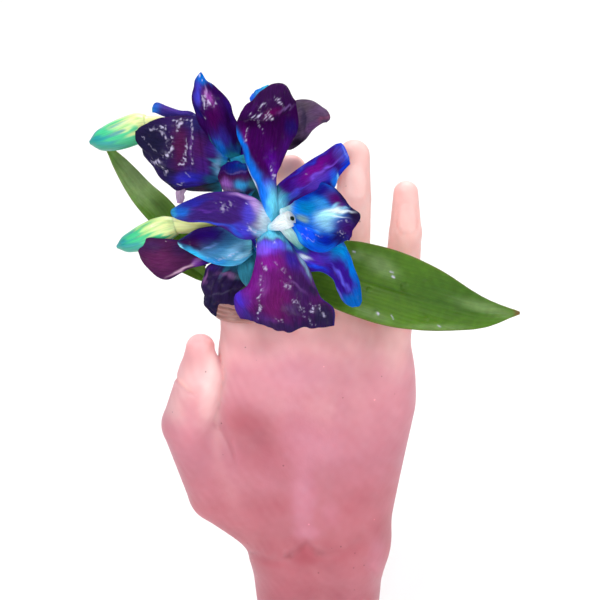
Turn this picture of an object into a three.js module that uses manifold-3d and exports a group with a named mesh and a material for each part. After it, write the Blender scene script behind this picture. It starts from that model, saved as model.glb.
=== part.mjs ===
// An orchid spray worn on a hand-shaped glass stand. Millimetres, +Z up, the origin at the centre
// of the flat foot. The back of the hand and the open blooms face -Y, and the thumb is towards -X.
import * as THREE from "three";
import { mergeVertices } from "three/addons/utils/BufferGeometryUtils.js";
import Module from "manifold-3d";

const wasm = await Module();
wasm.setup();

// Driving dimensions
const GAP = 0.3; // between two pieces that touch
const HAND_CELL = 4.6; // how finely the hand's surface is sampled
const WRIST_END = -6; // where the skin closes, before the foot is cut flat at 0
const SKIN_LOW = [-72, -26, 2 * WRIST_END]; // the space in which the skin is sought
const SKIN_HIGH = [46, 26, 230];
const SKIN_MOVES = 3; // moves of a sampled vertex onto the skin
const SLOPE_STEP = 0.1; // over which the skin's slope is measured
const LEAST_SLOPE = 0.2;
const CUTTER = 200; // a block larger than what it cuts
const FINGER_MOST = 20; // more than any finger's radius
const HALVINGS = 24; // of that length, to find a finger's skin
const BAND_LOW = 155; // the finger band's lower rim
const BAND_HIGH = 167;
const BAND_WALL = 1.3;
const BAND_CLEARANCE = 0.65;
const BAND_SIDES = 20;
const RIDGES = 6;
const RIDGE_DEPTH = 0.5;
const PAD_CENTRE = [-28, -12.4, 166.5];
const PAD_SIZE = [20, 2.4, 12];
const PAD_SIDES = 24;
const BINDING_RADIUS = 4.6;
const BINDING_ENDS = [[-36, -18, 166.5], [-15, -18, 170]];
const BINDING_TURNS = 7; // overlapping turns of the stem tape
const BINDING_SIDES = 14;
const TAPE_STEP = 0.35; // from the top of a turn down to the next
const STEM_SIDES = 8;
const STEM_RINGS = 8;
const SPRAY_RINGS = 12;
const STALK_RADII = [1, 1];
const PEDICEL_RADII = [1, 0.9];
const PEDICEL_TOP = 1.4; // its radius where it swells into a bloom
const COLUMN_RADII = [2.3, 2];
const COLUMN_RINGS = 2;
const KNOT_RADIUS = 2.4; // where a bloom's blades grow together
const KNOT_SIDES = 8;
const KNOT_RINGS = 6;
const BUD_SIDES = 10;
const BLADE_THICKNESS = 0.8;
const BLADE_COLUMNS = 4;
const LEAF_THICKNESS = 0.9;
const LIP_COLUMNS = 6;
const RIPPLES = 3; // half waves along a blade's edge
const FACE_STEP = 0.02; // over which a blade's facing is measured

const at = (p) => new THREE.Vector3(...p);

// ---------- closed solids ----------

// A closed mesh becomes a solid, turned inside out if its faces point in.
function solid(geometry) {
  const bare = new THREE.BufferGeometry();
  bare.setAttribute("position", geometry.getAttribute("position"));
  bare.setIndex(geometry.getIndex());
  const merged = mergeVertices(bare, 1e-4);
  const vertProperties = new Float32Array(merged.getAttribute("position").array);
  const triVerts = new Uint32Array(merged.getIndex().array);
  const made = new wasm.Manifold(new wasm.Mesh({ numProp: 3, vertProperties, triVerts }));
  if (made.volume() > 0) return made;
  const turned = triVerts.map((_, i) => triVerts[i % 3 === 0 ? i : i % 3 === 1 ? i + 1 : i - 1]);
  return new wasm.Manifold(new wasm.Mesh({ numProp: 3, vertProperties, triVerts: turned }));
}

function geometryOf(points, faces) {
  const geometry = new THREE.BufferGeometry();
  const numbers = points.flatMap((p) => [p.x, p.y, p.z]);
  geometry.setAttribute("position", new THREE.Float32BufferAttribute(numbers, 3));
  geometry.setIndex(faces.flat());
  return geometry;
}

const joined = (solids) => solids.reduce((whole, next) => whole.add(next));

// A round bar along a smooth curve through the points, with its radii spread evenly along it.
function bar(points, radii, sides = STEM_SIDES, rings = STEM_RINGS) {
  const curve = new THREE.CatmullRomCurve3(points.map(at));
  const frames = curve.computeFrenetFrames(rings, false);
  const vertices = [];
  const faces = [];
  for (let r = 0; r <= rings; r++) {
    const along = r / rings;
    const place = along * (radii.length - 1);
    const low = Math.min(Math.floor(place), radii.length - 2);
    const radius = THREE.MathUtils.lerp(radii[low], radii[low + 1], place - low);
    for (let s = 0; s < sides; s++) {
      const turn = (2 * Math.PI * s) / sides;
      const point = curve.getPointAt(along);
      point.addScaledVector(frames.normals[r], radius * Math.cos(turn));
      point.addScaledVector(frames.binormals[r], radius * Math.sin(turn));
      vertices.push(point);
      if (r === rings) continue;
      const next = (s + 1) % sides;
      const [a, b] = [r * sides + s, r * sides + next];
      faces.push([a, b, b + sides], [a, b + sides, a + sides]);
    }
  }
  const last = rings * sides;
  for (let s = 1; s < sides - 1; s++) {
    faces.push([0, s + 1, s], [last, last + s, last + s + 1]);
  }
  return solid(geometryOf(vertices, faces));
}

// A thin blade: its spine runs through the points, its inner face looks along facing, halves are
// its half widths at equal steps from root to tip, it is bent into an arc across (roll, in radians
// from the middle to the edge, at the root and at the tip), and its edge waves. Both faces are
// split into triangles alike.
function blade(spec) {
  const { points, facing, halves, roll, wave = 0 } = spec;
  const { thickness = BLADE_THICKNESS, columns = BLADE_COLUMNS } = spec;
  const curve = new THREE.CatmullRomCurve3(points.map(at));
  const look = at(facing).normalize();
  const rows = halves.length - 1;
  const surface = (t, s) => {
    const along = curve.getTangentAt(t);
    const across = along.clone().cross(look).normalize();
    const out = across.clone().cross(along);
    const row = Math.min(Math.floor(t * rows), rows - 1);
    const half = THREE.MathUtils.lerp(halves[row], halves[row + 1], t * rows - row);
    const bend = THREE.MathUtils.lerp(roll[0], roll[1], t);
    const ripple = wave * t * s * s * Math.sin(Math.PI * (RIPPLES * t + s));
    return curve.getPointAt(t)
      .addScaledVector(across, (half / bend) * Math.sin(bend * s))
      .addScaledVector(out, (half / bend) * (1 - Math.cos(bend * s)) + ripple);
  };
  const normal = (t, s) => {
    const [t0, t1] = [Math.max(t - FACE_STEP, 0), Math.min(t + FACE_STEP, 1)];
    const [s0, s1] = [Math.max(s - FACE_STEP, -1), Math.min(s + FACE_STEP, 1)];
    const down = surface(t1, s).sub(surface(t0, s));
    return down.cross(surface(t, s1).sub(surface(t, s0))).normalize();
  };
  const sides = [[], []];
  for (let r = 0; r <= rows; r++) {
    for (let c = 0; c <= columns; c++) {
      const [t, s] = [r / rows, (2 * c) / columns - 1];
      const offset = normal(t, s).multiplyScalar(thickness / 2);
      sides[0].push(surface(t, s).add(offset));
      sides[1].push(surface(t, s).sub(offset));
    }
  }
  const count = sides[0].length;
  const id = (r, c) => r * (columns + 1) + c;
  const faces = [];
  for (let r = 0; r < rows; r++) {
    for (let c = 0; c < columns; c++) {
      const [a, b, d, e] = [id(r, c), id(r, c + 1), id(r + 1, c + 1), id(r + 1, c)];
      faces.push([a, b, d], [a, d, e]);
      faces.push([a + count, d + count, b + count], [a + count, e + count, d + count]);
    }
  }
  const border = [];
  for (let c = 0; c < columns; c++) border.push(id(0, c));
  for (let r = 0; r < rows; r++) border.push(id(r, columns));
  for (let c = columns; c > 0; c--) border.push(id(rows, c));
  for (let r = rows; r > 0; r--) border.push(id(r, 0));
  border.forEach((a, i) => {
    const b = border[(i + 1) % border.length];
    faces.push([a, a + count, b + count], [a, b + count, b]);
  });
  return solid(geometryOf(sides.flat(), faces));
}

// ---------- the hand ----------

// Each chain of rounded bones: a point and the flesh's radius there.
const FOREARM = [
  [[-7, 0, -16, 15.5], [-10.5, 0, 46, 18]],
  [[8, 0, -16, 16.5], [11.5, -1, 48, 18]],
];
const PALM = [
  [[-12, 0, 58, 15.5], [-28, -1, 134, 11.5]],
  [[-4, -1, 58, 15.5], [-11.5, -2.5, 139, 12]],
  [[4, 0, 58, 15.5], [8.5, -1.5, 136, 11.5]],
  [[10, 1, 58, 15], [25.5, 2, 128, 11.2]],
  [[12, 3, 60, 14], [22.5, 3, 115, 13]],
  [[-25, 0, 75, 13], [-36, -1, 98, 7.5]],
];
const THUMB = [
  [-24, 1, 52, 12], [-41.3, 0, 76, 14.3], [-52.3, -2, 107, 11],
  [-50, -5, 120, 10.6], [-46, -4.5, 134, 8.5], [-45.3, -4, 140.5, 5.8],
];
const FINGERS = [
  [[-30.2, -1, 144, 8.2], [-32, -2.5, 172, 7.7], [-32.5, 2.5, 190, 6.8], [-32, 8, 199, 5.6]],
  [[-11.5, -3, 148, 8.6], [-12.3, -3.5, 180, 7.9], [-12, 4, 199, 6.9], [-11.5, 11, 208.5, 5.9]],
  [[8.7, -1.5, 146, 8.3], [12, -3, 178, 7], [12.6, 0, 200, 6.4], [12.5, 4.5, 214.5, 5.6]],
  [[26.8, 1.5, 138, 7.8], [31, 1, 168, 6.7], [32.4, 3.5, 186, 6.2], [31.8, 7.5, 200, 5.1]],
];

// How widely neighbouring flesh runs together.
const MELT = { arm: 10, palm: 8, wrist: 14, thumb: 7, joint: 3, fingers: 2, knuckles: 5 };

function blend(a, b, width) {
  const near = Math.max(width - Math.abs(a - b), 0) / width;
  return Math.min(a, b) - (near * near * width) / 4;
}

function toBone([x, y, z], [ax, ay, az, ar], [bx, by, bz, br]) {
  const [ux, uy, uz] = [bx - ax, by - ay, bz - az];
  const [px, py, pz] = [x - ax, y - ay, z - az];
  const share = (px * ux + py * uy + pz * uz) / (ux * ux + uy * uy + uz * uz);
  const t = THREE.MathUtils.clamp(share, 0, 1);
  return Math.hypot(px - ux * t, py - uy * t, pz - uz * t) - THREE.MathUtils.lerp(ar, br, t);
}

function toChain(p, chain) {
  const bones = chain.slice(1).map((end, i) => toBone(p, chain[i], end));
  return bones.reduce((a, b) => blend(a, b, MELT.joint));
}

// The distance from a point to the hand's skin, below 0 inside.
function toHand(p) {
  const arm = FOREARM.map(([a, b]) => toBone(p, a, b)).reduce((a, b) => blend(a, b, MELT.arm));
  const palm = PALM.map(([a, b]) => toBone(p, a, b)).reduce((a, b) => blend(a, b, MELT.palm));
  const fingers = FINGERS.map((f) => toChain(p, f)).reduce((a, b) => blend(a, b, MELT.fingers));
  const whole = blend(blend(arm, palm, MELT.wrist), toChain(p, THUMB), MELT.thumb);
  return Math.max(blend(whole, fingers, MELT.knuckles), WRIST_END - p[2]);
}

// The skin of a field: one vertex in each cell that the surface crosses, moved onto the surface,
// and one four-sided face round each grid edge that it crosses.
function skinOf(field, low, high, cell) {
  const size = low.map((v, i) => Math.ceil((high[i] - v) / cell));
  const corner = (i, j, k) => [low[0] + i * cell, low[1] + j * cell, low[2] + k * cell];
  const key = (i, j, k) => (i * (size[1] + 1) + j) * (size[2] + 1) + k;
  const values = new Map();
  for (let i = 0; i <= size[0]; i++)
    for (let j = 0; j <= size[1]; j++)
      for (let k = 0; k <= size[2]; k++) values.set(key(i, j, k), field(corner(i, j, k)));
  const value = (c) => values.get(key(...c));
  const steps = [[1, 0, 0], [0, 1, 0], [0, 0, 1]];
  const plus = (c, d) => c.map((v, n) => v + d[n]);
  const vertices = [];
  const vertexOf = new Map();
  const vertex = (c) => {
    if (vertexOf.has(key(...c))) return vertexOf.get(key(...c));
    const middle = new THREE.Vector3();
    let crossings = 0;
    for (let n = 0; n < 12; n++) {
      const axis = Math.floor(n / 4);
      const start = [...c];
      start[(axis + 1) % 3] += n & 1;
      start[(axis + 2) % 3] += (n >> 1) & 1;
      const end = plus(start, steps[axis]);
      const [a, b] = [value(start), value(end)];
      if (a < 0 === b < 0) continue;
      middle.add(at(corner(...start)).lerp(at(corner(...end)), a / (a - b)));
      crossings++;
    }
    middle.divideScalar(crossings);
    for (let n = 0; n < SKIN_MOVES; n++) {
      const d = field(middle.toArray());
      const slope = new THREE.Vector3(...steps.map((s) => {
        const ahead = field(plus(middle.toArray(), s.map((v) => v * SLOPE_STEP)));
        return (ahead - d) / SLOPE_STEP;
      }));
      middle.addScaledVector(slope, -d / Math.max(slope.lengthSq(), LEAST_SLOPE));
    }
    vertexOf.set(key(...c), vertices.length);
    vertices.push(middle);
    return vertices.length - 1;
  };
  const faces = [];
  for (let i = 1; i < size[0]; i++)
    for (let j = 1; j < size[1]; j++)
      for (let k = 1; k < size[2]; k++)
        steps.forEach((step, axis) => {
          const c = [i, j, k];
          const [a, b] = [value(c), value(plus(c, step))];
          if (a < 0 === b < 0) return;
          const back1 = steps[(axis + 1) % 3].map((v) => -v);
          const back2 = steps[(axis + 2) % 3].map((v) => -v);
          const ring = [c, plus(c, back1), plus(plus(c, back1), back2), plus(c, back2)].map(vertex);
          if (b < 0) ring.reverse();
          faces.push([ring[0], ring[1], ring[2]], [ring[0], ring[2], ring[3]]);
        });
  return geometryOf(vertices, faces);
}

function hand() {
  const below = new THREE.BoxGeometry(CUTTER, CUTTER, CUTTER).translate(0, 0, -CUTTER / 2);
  return solid(skinOf(toHand, SKIN_LOW, SKIN_HIGH, HAND_CELL)).subtract(solid(below));
}

// ---------- the finger band ----------

// How far the skin, grown by a clearance, is from a point inside the finger.
function reach(from, direction, clearance) {
  let [near, far] = [0, FINGER_MOST];
  for (let n = 0; n < HALVINGS; n++) {
    const middle = (near + far) / 2;
    const p = from.map((v, i) => v + direction[i] * middle);
    if (toHand(p) < clearance) near = middle;
    else far = middle;
  }
  return far;
}

function fingerBand() {
  const [foot, knuckle] = FINGERS[0];
  const profile = [[0, BAND_LOW], [0, (BAND_LOW + BAND_HIGH) / 2], [0, BAND_HIGH]];
  for (let i = 0; i <= 2 * RIDGES; i++) {
    const out = BAND_WALL + (i % 2 ? RIDGE_DEPTH : 0);
    profile.push([out, THREE.MathUtils.lerp(BAND_HIGH, BAND_LOW, i / (2 * RIDGES))]);
  }
  const vertices = [];
  const faces = [];
  profile.forEach(([out, z], r) => {
    const t = (z - foot[2]) / (knuckle[2] - foot[2]);
    const axis = [0, 1].map((i) => THREE.MathUtils.lerp(foot[i], knuckle[i], t));
    for (let s = 0; s < BAND_SIDES; s++) {
      const turn = (2 * Math.PI * s) / BAND_SIDES;
      const direction = [Math.cos(turn), Math.sin(turn), 0];
      const radius = reach([...axis, z], direction, BAND_CLEARANCE) + out;
      vertices.push(at([axis[0] + direction[0] * radius, axis[1] + direction[1] * radius, z]));
      const below = ((r + 1) % profile.length) * BAND_SIDES;
      const next = (s + 1) % BAND_SIDES;
      faces.push([r * BAND_SIDES + s, below + next, r * BAND_SIDES + next]);
      faces.push([r * BAND_SIDES + s, below + s, below + next]);
    }
  });
  const pad = new THREE.CylinderGeometry(0.5, 0.5, 1, PAD_SIDES).scale(...PAD_SIZE);
  return solid(geometryOf(vertices, faces)).add(solid(pad.translate(...PAD_CENTRE)));
}

// ---------- stems, leaves, buds and blooms ----------

const SPRAY = [[-25, -18, 167], [-27, -17.5, 180], [-31, -17, 193], [-37, -16, 207], [-46, -14, 221]];
const SPRAY_RADII = [1.6, 1.5, 1.4, 1.3, 1.1];

// The room that a stem needs: a bar fatter and longer by the gap at both ends.
function room(points, radii) {
  const ends = points.map(at);
  const last = ends.length - 1;
  ends[0].add(ends[0].clone().sub(ends[1]).setLength(GAP));
  ends[last].add(ends[last].clone().sub(ends[last - 1]).setLength(GAP));
  return bar(ends.map((p) => p.toArray()), radii.map((r) => r + GAP), STEM_SIDES, SPRAY_RINGS);
}

const SEPAL = [2, 3.8, 4.5, 4.1, 3, 0.6];

const LEAVES = {
  leaf_right: {
    stalk: [[-20, -18, 169], [-13, -18, 172], [-7, -18.5, 178], [0, -19, 181]],
    points: [[-4, -19, 181], [13, -20.5, 176.5], [33, -21.5, 171], [56, -22, 165.5], [72, -22, 163]],
    halves: [2, 9, 12.6, 13.9, 12.6, 9.6, 5.4, 0.5],
    facing: [0.1, -1, 0.25], roll: [0.5, 0.25], wave: 0.8,
  },
  leaf_left: {
    stalk: [[-31, -17, 168], [-36, -16.5, 168], [-41, -15, 173], [-45, -13.5, 180]],
    points: [[-43, -14, 178], [-56, -10, 197.5], [-66, -6.5, 206.5], [-78.6, -3, 221.5]],
    halves: [1.5, 5.4, 6.3, 6, 5, 3.6, 0.5],
    facing: [0.5, -1, -0.3], roll: [0.5, 0.4], wave: 0.5,
  },
  leaf_lower: {
    stalk: [[-31, -20, 167], [-36, -20, 167], [-40, -19, 170], [-43, -18, 173.5]],
    points: [[-41, -18.5, 172], [-50, -17, 178.5], [-61, -16, 179.5]],
    halves: [1.2, 3, 3.6, 3.4, 2.4, 0.5],
    facing: [0.1, -1, 0.2], roll: [0.4, 0.3], wave: 0.4,
  },
};

const BUDS = {
  bud_upper: {
    body: [[-61, -14.5, 230.5], [-66, -14, 228.5], [-75, -14, 225.5], [-82, -14, 223.8]],
    pedicel: [[-62, -14.5, 230.5], [-55, -14, 230.5], [-49, -14, 225], [-46, -14, 221]],
    fullness: 5.4,
  },
  bud_lower: {
    body: [[-51, -27, 198], [-58, -27, 195.5], [-66, -26, 191.5], [-73, -25, 189]],
    pedicel: [[-52, -27, 198], [-43, -28, 197.5], [-36, -24, 198.5], [-33.5, -16.5, 199]],
    fullness: 4.7,
  },
};
const BUD_PROFILE = [0.35, 0.8, 0.98, 1, 0.92, 0.74, 0.5, 0.12];

const BLOOMS = {
  bloom_front: {
    heart: [-18, -36, 201.5], looks: [0.1, -1, 0.1],
    column: [[-18, -37, 202], [-10, -47.5, 205]],
    pedicel: [[-18, -35, 201], [-18, -28, 199], [-23, -20, 191], [-28, -17, 184]],
    blades: [
      { points: [[-25, -41, 205.5], [-38, -41, 207], [-51.4, -35, 203.6]],
        halves: [2.5, 5.2, 5.8, 5.5, 4.4, 1], roll: [0.6, 0.5] },
      { points: [[-19, -41, 214], [-18.4, -42, 230], [-15.8, -36, 247]],
        halves: [2, 2.4, 5.8, 9, 9.2, 2.4], roll: [0.6, 0.6], wave: 1 },
      { points: [[-13, -40.5, 209], [-3.7, -41, 218.3], [7.1, -38, 226.3]],
        halves: [2, 3.4, 4.2, 4.3, 4.1, 2.6], roll: [0.7, 0.6] },
      { points: [[-8, -40, 196], [1, -39.5, 189.5], [12.7, -34, 169.8]],
        halves: [2.5, 4, 4.6, 4.4, 3.8, 1.2], roll: [0.5, 0.5] },
      { points: [[-17, -41, 193], [-15, -43.5, 181], [-13.2, -40, 163.3]],
        halves: [3, 6, 8.5, 13, 16.5, 11], roll: [0.4, 0.3], wave: 2 },
    ],
    lip: {
      points: [[-15, -41, 204.5], [-6, -43, 206.5], [3, -44.5, 206.8], [11.6, -47.5, 206]],
      halves: [3, 8, 12.5, 12.5, 8, 1.5], facing: [-0.25, -1, 0], roll: [1.5, 0.8], wave: 1,
    },
  },
  bloom_upper: {
    heart: [-33.5, -26, 220], looks: [-0.1, -1, 0.15],
    column: [[-33.5, -27, 220], [-32, -34, 222.5]],
    pedicel: [[-33.5, -25, 220], [-34, -21, 217], [-37, -18, 210], [-37, -16, 207]],
    blades: [
      { points: [[-40, -29, 221.5], [-50, -27, 224], [-63.5, -24, 226]],
        halves: [3, 9, 13, 13, 9.6, 2.8], roll: [0.4, 0.2], wave: 1 },
      { points: [[-34.5, -30, 228], [-37, -29.5, 238], [-41.1, -24, 249.4]],
        halves: [3, 5.8, 6.6, 6.4, 4.6, 0.6], roll: [0.6, 0.5], wave: 1 },
      { points: [[-43, -22, 229], [-51, -19, 233], [-59.3, -16, 235.7]], halves: SEPAL, roll: [0.5, 0.5] },
      { points: [[-41, -23, 214], [-50, -20, 209]], halves: SEPAL, roll: [0.5, 0.5] },
      { points: [[-26, -26, 225], [-20, -25, 232]], halves: SEPAL, roll: [0.5, 0.5] },
    ],
    lip: {
      points: [[-33, -27.6, 217.6], [-32, -33, 213], [-30.5, -38.5, 213.5], [-29.5, -40, 221]],
      halves: [2, 5, 6.4, 6.4, 4.4], facing: [0, 0.8, 1], roll: [1.2, 1.1],
    },
  },
  bloom_lower: {
    heart: [-25, -27, 188.5], looks: [-0.6, -0.75, -0.2],
    column: [[-25, -28, 188.5], [-31, -32, 192]],
    pedicel: [[-25, -26, 188.5], [-25, -23, 186], [-26.5, -19, 181.5], [-27, -17.5, 180]],
    blades: [
      { points: [[-40, -25, 185.5], [-54, -22, 183], [-66.3, -19.5, 184.5]],
        halves: [2, 3.6, 6, 8.4, 8, 4.4], roll: [0.3, 0.3], wave: 1 },
      { points: [[-27.5, -29, 183], [-33.5, -29.5, 176], [-38.5, -25, 163]],
        halves: [2.5, 6.5, 9, 9, 7, 2.4], roll: [0.6, 0.5], wave: 1 },
      { points: [[-26.5, -31, 197], [-26, -33, 206]], halves: [2, 4, 5, 4, 1.2], roll: [0.4, 0.4] },
      { points: [[-18, -28, 185], [-9, -27, 182]], halves: SEPAL, roll: [0.4, 0.4] },
      { points: [[-34, -20, 190.5], [-43, -16, 198.5]], halves: SEPAL, roll: [0.4, 0.4] },
    ],
    lip: {
      points: [[-27.5, -29, 187.5], [-34, -31.5, 184.8], [-43, -32, 186], [-50.8, -31, 193]],
      halves: [2, 8, 10.5, 10.5, 7.5, 1.5], facing: [0.1, -0.55, 0.85], roll: [1.4, 1], wave: 0.5,
    },
  },
  bloom_back: {
    heart: [-17, -13, 227], looks: [0.2, 0.9, 0.4],
    column: [[-17, -13, 227], [-16, -7, 233]],
    pedicel: [[-17, -13, 227], [-21, -14, 219], [-27, -15.5, 208], [-34, -16.5, 200]],
    blades: [
      { points: [[-8.5, -15, 229.5], [2, -14, 233]],
        halves: [2.5, 6, 8, 7.5, 3], roll: [0.4, 0.3], wave: 1 },
      { points: [[-11, -13, 234], [-5, -11, 240]], halves: [2, 4, 5.5, 4.5, 2], roll: [0.4, 0.3] },
      { points: [[-20, -11.5, 235], [-23, -9.5, 242.7]], halves: [2, 3.5, 4, 3.4, 1.5], roll: [0.4, 0.3] },
      { points: [[-27, -7, 229], [-36, -1, 231]],
        halves: [2.5, 5, 7, 6.5, 2.5], roll: [0.4, 0.3], wave: 1 },
      { points: [[-15, -5, 225], [-12, 4, 224]], halves: SEPAL, roll: [0.4, 0.3] },
    ],
    lip: {
      points: [[-17, -9, 230.5], [-16, -3, 233], [-14, 2, 240]],
      halves: [3, 6, 7.5, 6, 1.5], facing: [-0.3, -0.6, 1], roll: [1.3, 1], wave: 0.5,
    },
  },
};

// The taped roll of stems, cut flat where it lies on the band's pad, with room for each stem.
function binding() {
  const radii = [];
  for (let i = 0; i <= 2 * BINDING_TURNS; i++) radii.push(BINDING_RADIUS - (i % 2) * TAPE_STEP);
  const roll = bar(BINDING_ENDS, radii, BINDING_SIDES, 2 * BINDING_TURNS);
  const seat = PAD_CENTRE[1] - PAD_SIZE[1] / 2 - GAP;
  const behind = new THREE.BoxGeometry(CUTTER, CUTTER, 2 * CUTTER).translate(0, seat + CUTTER / 2, 0);
  const stalks = Object.values(LEAVES).map(({ stalk }) => room(stalk, STALK_RADII));
  const cuts = [solid(behind), room(SPRAY, SPRAY_RADII), ...stalks];
  return cuts.reduce((left, cut) => left.subtract(cut), roll);
}

function leaf({ stalk, ...spec }) {
  return blade({ ...spec, thickness: LEAF_THICKNESS }).add(bar(stalk, STALK_RADII));
}

function bud({ body, pedicel, fullness }) {
  const radii = BUD_PROFILE.map((share) => share * fullness);
  const green = bar(body, radii, BUD_SIDES, radii.length - 1);
  return green.add(bar(pedicel, PEDICEL_RADII)).subtract(room(SPRAY, SPRAY_RADII));
}

function knot(heart, radius) {
  return solid(new THREE.SphereGeometry(radius, KNOT_SIDES, KNOT_RINGS).translate(...heart));
}

function bloom({ heart, looks, column, pedicel, blades }) {
  const parts = blades.map((spec) => blade({ ...spec, facing: looks, points: [heart, ...spec.points] }));
  const tip = bar(column, COLUMN_RADII, STEM_SIDES, COLUMN_RINGS);
  const stem = bar(pedicel, [PEDICEL_TOP, ...PEDICEL_RADII]);
  return joined([knot(heart, KNOT_RADIUS), tip, stem, ...parts]).subtract(room(SPRAY, SPRAY_RADII));
}

function lip({ lip: spec, column, heart }) {
  const cup = blade({ ...spec, columns: LIP_COLUMNS });
  return cup.subtract(room(column, COLUMN_RADII)).subtract(knot(heart, KNOT_RADIUS + GAP));
}

// ---------- the assembly ----------

const GLASS = { color: 0xe09aa6, roughness: 0.45, metalness: 0 };
const BAND = { color: 0x8a5f52, roughness: 0.4, metalness: 0 };
const STEM = { color: 0x9fb35a, roughness: 0.5, metalness: 0 };
const LEAF_GREEN = { color: 0x4f7c2c, roughness: 0.35, metalness: 0 };
const BUD_GREEN = { color: 0x8fd0a8, roughness: 0.45, metalness: 0 };
const PURPLE = { color: 0x4a1a86, roughness: 0.4, metalness: 0 };
const BLUE = { color: 0x2f8fd8, roughness: 0.4, metalness: 0 };

const group = new THREE.Group();

function place(name, made, finish) {
  const { vertProperties, triVerts } = made.getMesh();
  const geometry = new THREE.BufferGeometry();
  geometry.setAttribute("position", new THREE.BufferAttribute(vertProperties, 3));
  geometry.setIndex(new THREE.BufferAttribute(triVerts, 1));
  geometry.computeVertexNormals();
  const mesh = new THREE.Mesh(geometry, new THREE.MeshStandardMaterial(finish));
  mesh.name = name;
  group.add(mesh);
}

place("hand_stand", hand(), GLASS);
place("finger_band", fingerBand(), BAND);
place("stem_binding", binding(), STEM);
place("spray_stem", bar(SPRAY, SPRAY_RADII, STEM_SIDES, SPRAY_RINGS), STEM);
for (const [name, spec] of Object.entries(LEAVES)) place(name, leaf(spec), LEAF_GREEN);
for (const [name, spec] of Object.entries(BUDS)) place(name, bud(spec), BUD_GREEN);
for (const [name, spec] of Object.entries(BLOOMS)) {
  place(name, bloom(spec), PURPLE);
  place(`${name}_lip`, lip(spec), BLUE);
}

export default group;
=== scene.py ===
# %% [markdown]
# # A spray of dyed orchids on a frosted glass hand
# The object is a pink glass hand that stands on its wrist. A ribbed band on its index finger carries
# a taped bundle of stems: four open blooms, two buds and three leaves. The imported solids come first,
# because they fix the size and place of everything that is made here.

import bpy
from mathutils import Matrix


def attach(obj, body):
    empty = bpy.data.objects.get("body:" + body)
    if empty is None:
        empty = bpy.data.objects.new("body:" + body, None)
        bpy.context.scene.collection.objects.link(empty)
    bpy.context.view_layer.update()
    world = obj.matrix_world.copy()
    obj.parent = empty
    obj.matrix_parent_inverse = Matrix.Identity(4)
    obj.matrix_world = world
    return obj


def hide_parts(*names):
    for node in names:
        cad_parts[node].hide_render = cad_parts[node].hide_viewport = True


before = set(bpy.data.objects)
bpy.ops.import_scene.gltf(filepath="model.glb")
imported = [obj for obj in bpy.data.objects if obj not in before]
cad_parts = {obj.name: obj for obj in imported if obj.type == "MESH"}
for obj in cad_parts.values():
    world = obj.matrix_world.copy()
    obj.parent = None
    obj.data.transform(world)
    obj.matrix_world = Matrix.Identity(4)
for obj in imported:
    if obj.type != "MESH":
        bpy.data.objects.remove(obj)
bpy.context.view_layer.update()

import bpy
import math
import numpy as np
from mathutils import Vector

MM = 0.001
print("solids:", sorted(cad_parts))

# %% [markdown]
# ## The camera
# The view is a little from above, close to the object, so the nearest bloom looks large. A camera can
# be aimed with a constraint, but here the angle is simple: it looks along +Y and tilts down, so its
# place follows from the point it looks at, its distance and that tilt.

# %% Camera
AIM = (-8, 0, 160)
DISTANCE = 400
TILT = math.radians(20)
FRAME = 600  # the side of the square frame in pixels
FOCAL = 1039  # the focal length in the same pixels
SENSOR = 36

camera = bpy.data.objects.new("camera", bpy.data.cameras.new("camera"))
camera.data.sensor_width = SENSOR
camera.data.lens = SENSOR * FOCAL / FRAME
camera.data.clip_start = 0.01
camera.location = (Vector(AIM) + DISTANCE * Vector((0, -math.cos(TILT), math.sin(TILT)))) * MM
camera.rotation_euler = (math.pi / 2 - TILT, 0, 0)
bpy.context.scene.collection.objects.link(camera)
bpy.context.scene.camera = camera
print("camera at", [round(x, 3) for x in camera.location])

# %% [markdown]
# Petals are easiest to lay out as where a point shows in the frame, and how far back it lies.
# The first helper turns such a spot into a point of the object, in millimetres, and the second one
# goes the other way, so that paint can be placed in the frame too.

# %% From the frame to the object and back
def spot(across, down, depth):
    slope = (FRAME / 2 - down) / FOCAL
    rise = DISTANCE * slope + depth * (math.cos(TILT) * slope - math.sin(TILT))
    rise /= math.cos(TILT) + math.sin(TILT) * slope
    reach = DISTANCE - math.sin(TILT) * rise + math.cos(TILT) * depth
    return (AIM[0] + (across - FRAME / 2) * reach / FOCAL, depth, AIM[2] + rise)


def seen(points):
    rise = points[..., 2] - AIM[2]
    reach = DISTANCE - math.sin(TILT) * rise + math.cos(TILT) * points[..., 1]
    across = FRAME / 2 + (points[..., 0] - AIM[0]) * FOCAL / reach
    down = FRAME / 2 - (math.cos(TILT) * rise + math.sin(TILT) * points[..., 1]) * FOCAL / reach
    return np.stack([across, down], -1)


print("the middle of the frame:", [round(v, 1) for v in spot(300, 300, 0)])
print("and back:", seen(np.array(spot(300, 300, 0))).round(2))

# %% [markdown]
# Folds and patches of colour need two more measures: how far a place of the frame is from a bent
# line, and how much of a soft, turned ellipse covers it.

# %% Bent lines and soft spots
def to_line(place, line):
    far = np.full(place.shape[:-1], np.inf)
    for a, b in zip(np.array(line[:-1], float), np.array(line[1:], float)):
        t = np.clip((place - a) @ (b - a) / ((b - a) @ (b - a)), 0, 1)
        far = np.minimum(far, np.linalg.norm(place - a - t[..., None] * (b - a), axis=-1))
    return far


def soft_spot(place, across, down, long, short, turn):
    lean = math.radians(turn)
    x, y = place[..., 0] - across, place[..., 1] - down
    a = (x * math.cos(lean) + y * math.sin(lean)) / long
    b = (y * math.cos(lean) - x * math.sin(lean)) / short
    return np.exp(-((a * a + b * b) ** 1.4))


print("cover at the middle and rim of a spot:", soft_spot(np.array([[0, 0], [9, 0]]), 0, 0, 9, 4, 0).round(2))

# %% [markdown]
# ## Gentle noise
# Nothing that grew or was cast by hand is quite even. Sums of a few sine waves give a soft random
# swell, seeded so that each run makes the same object, and a smooth step fades one thing into another.

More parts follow.
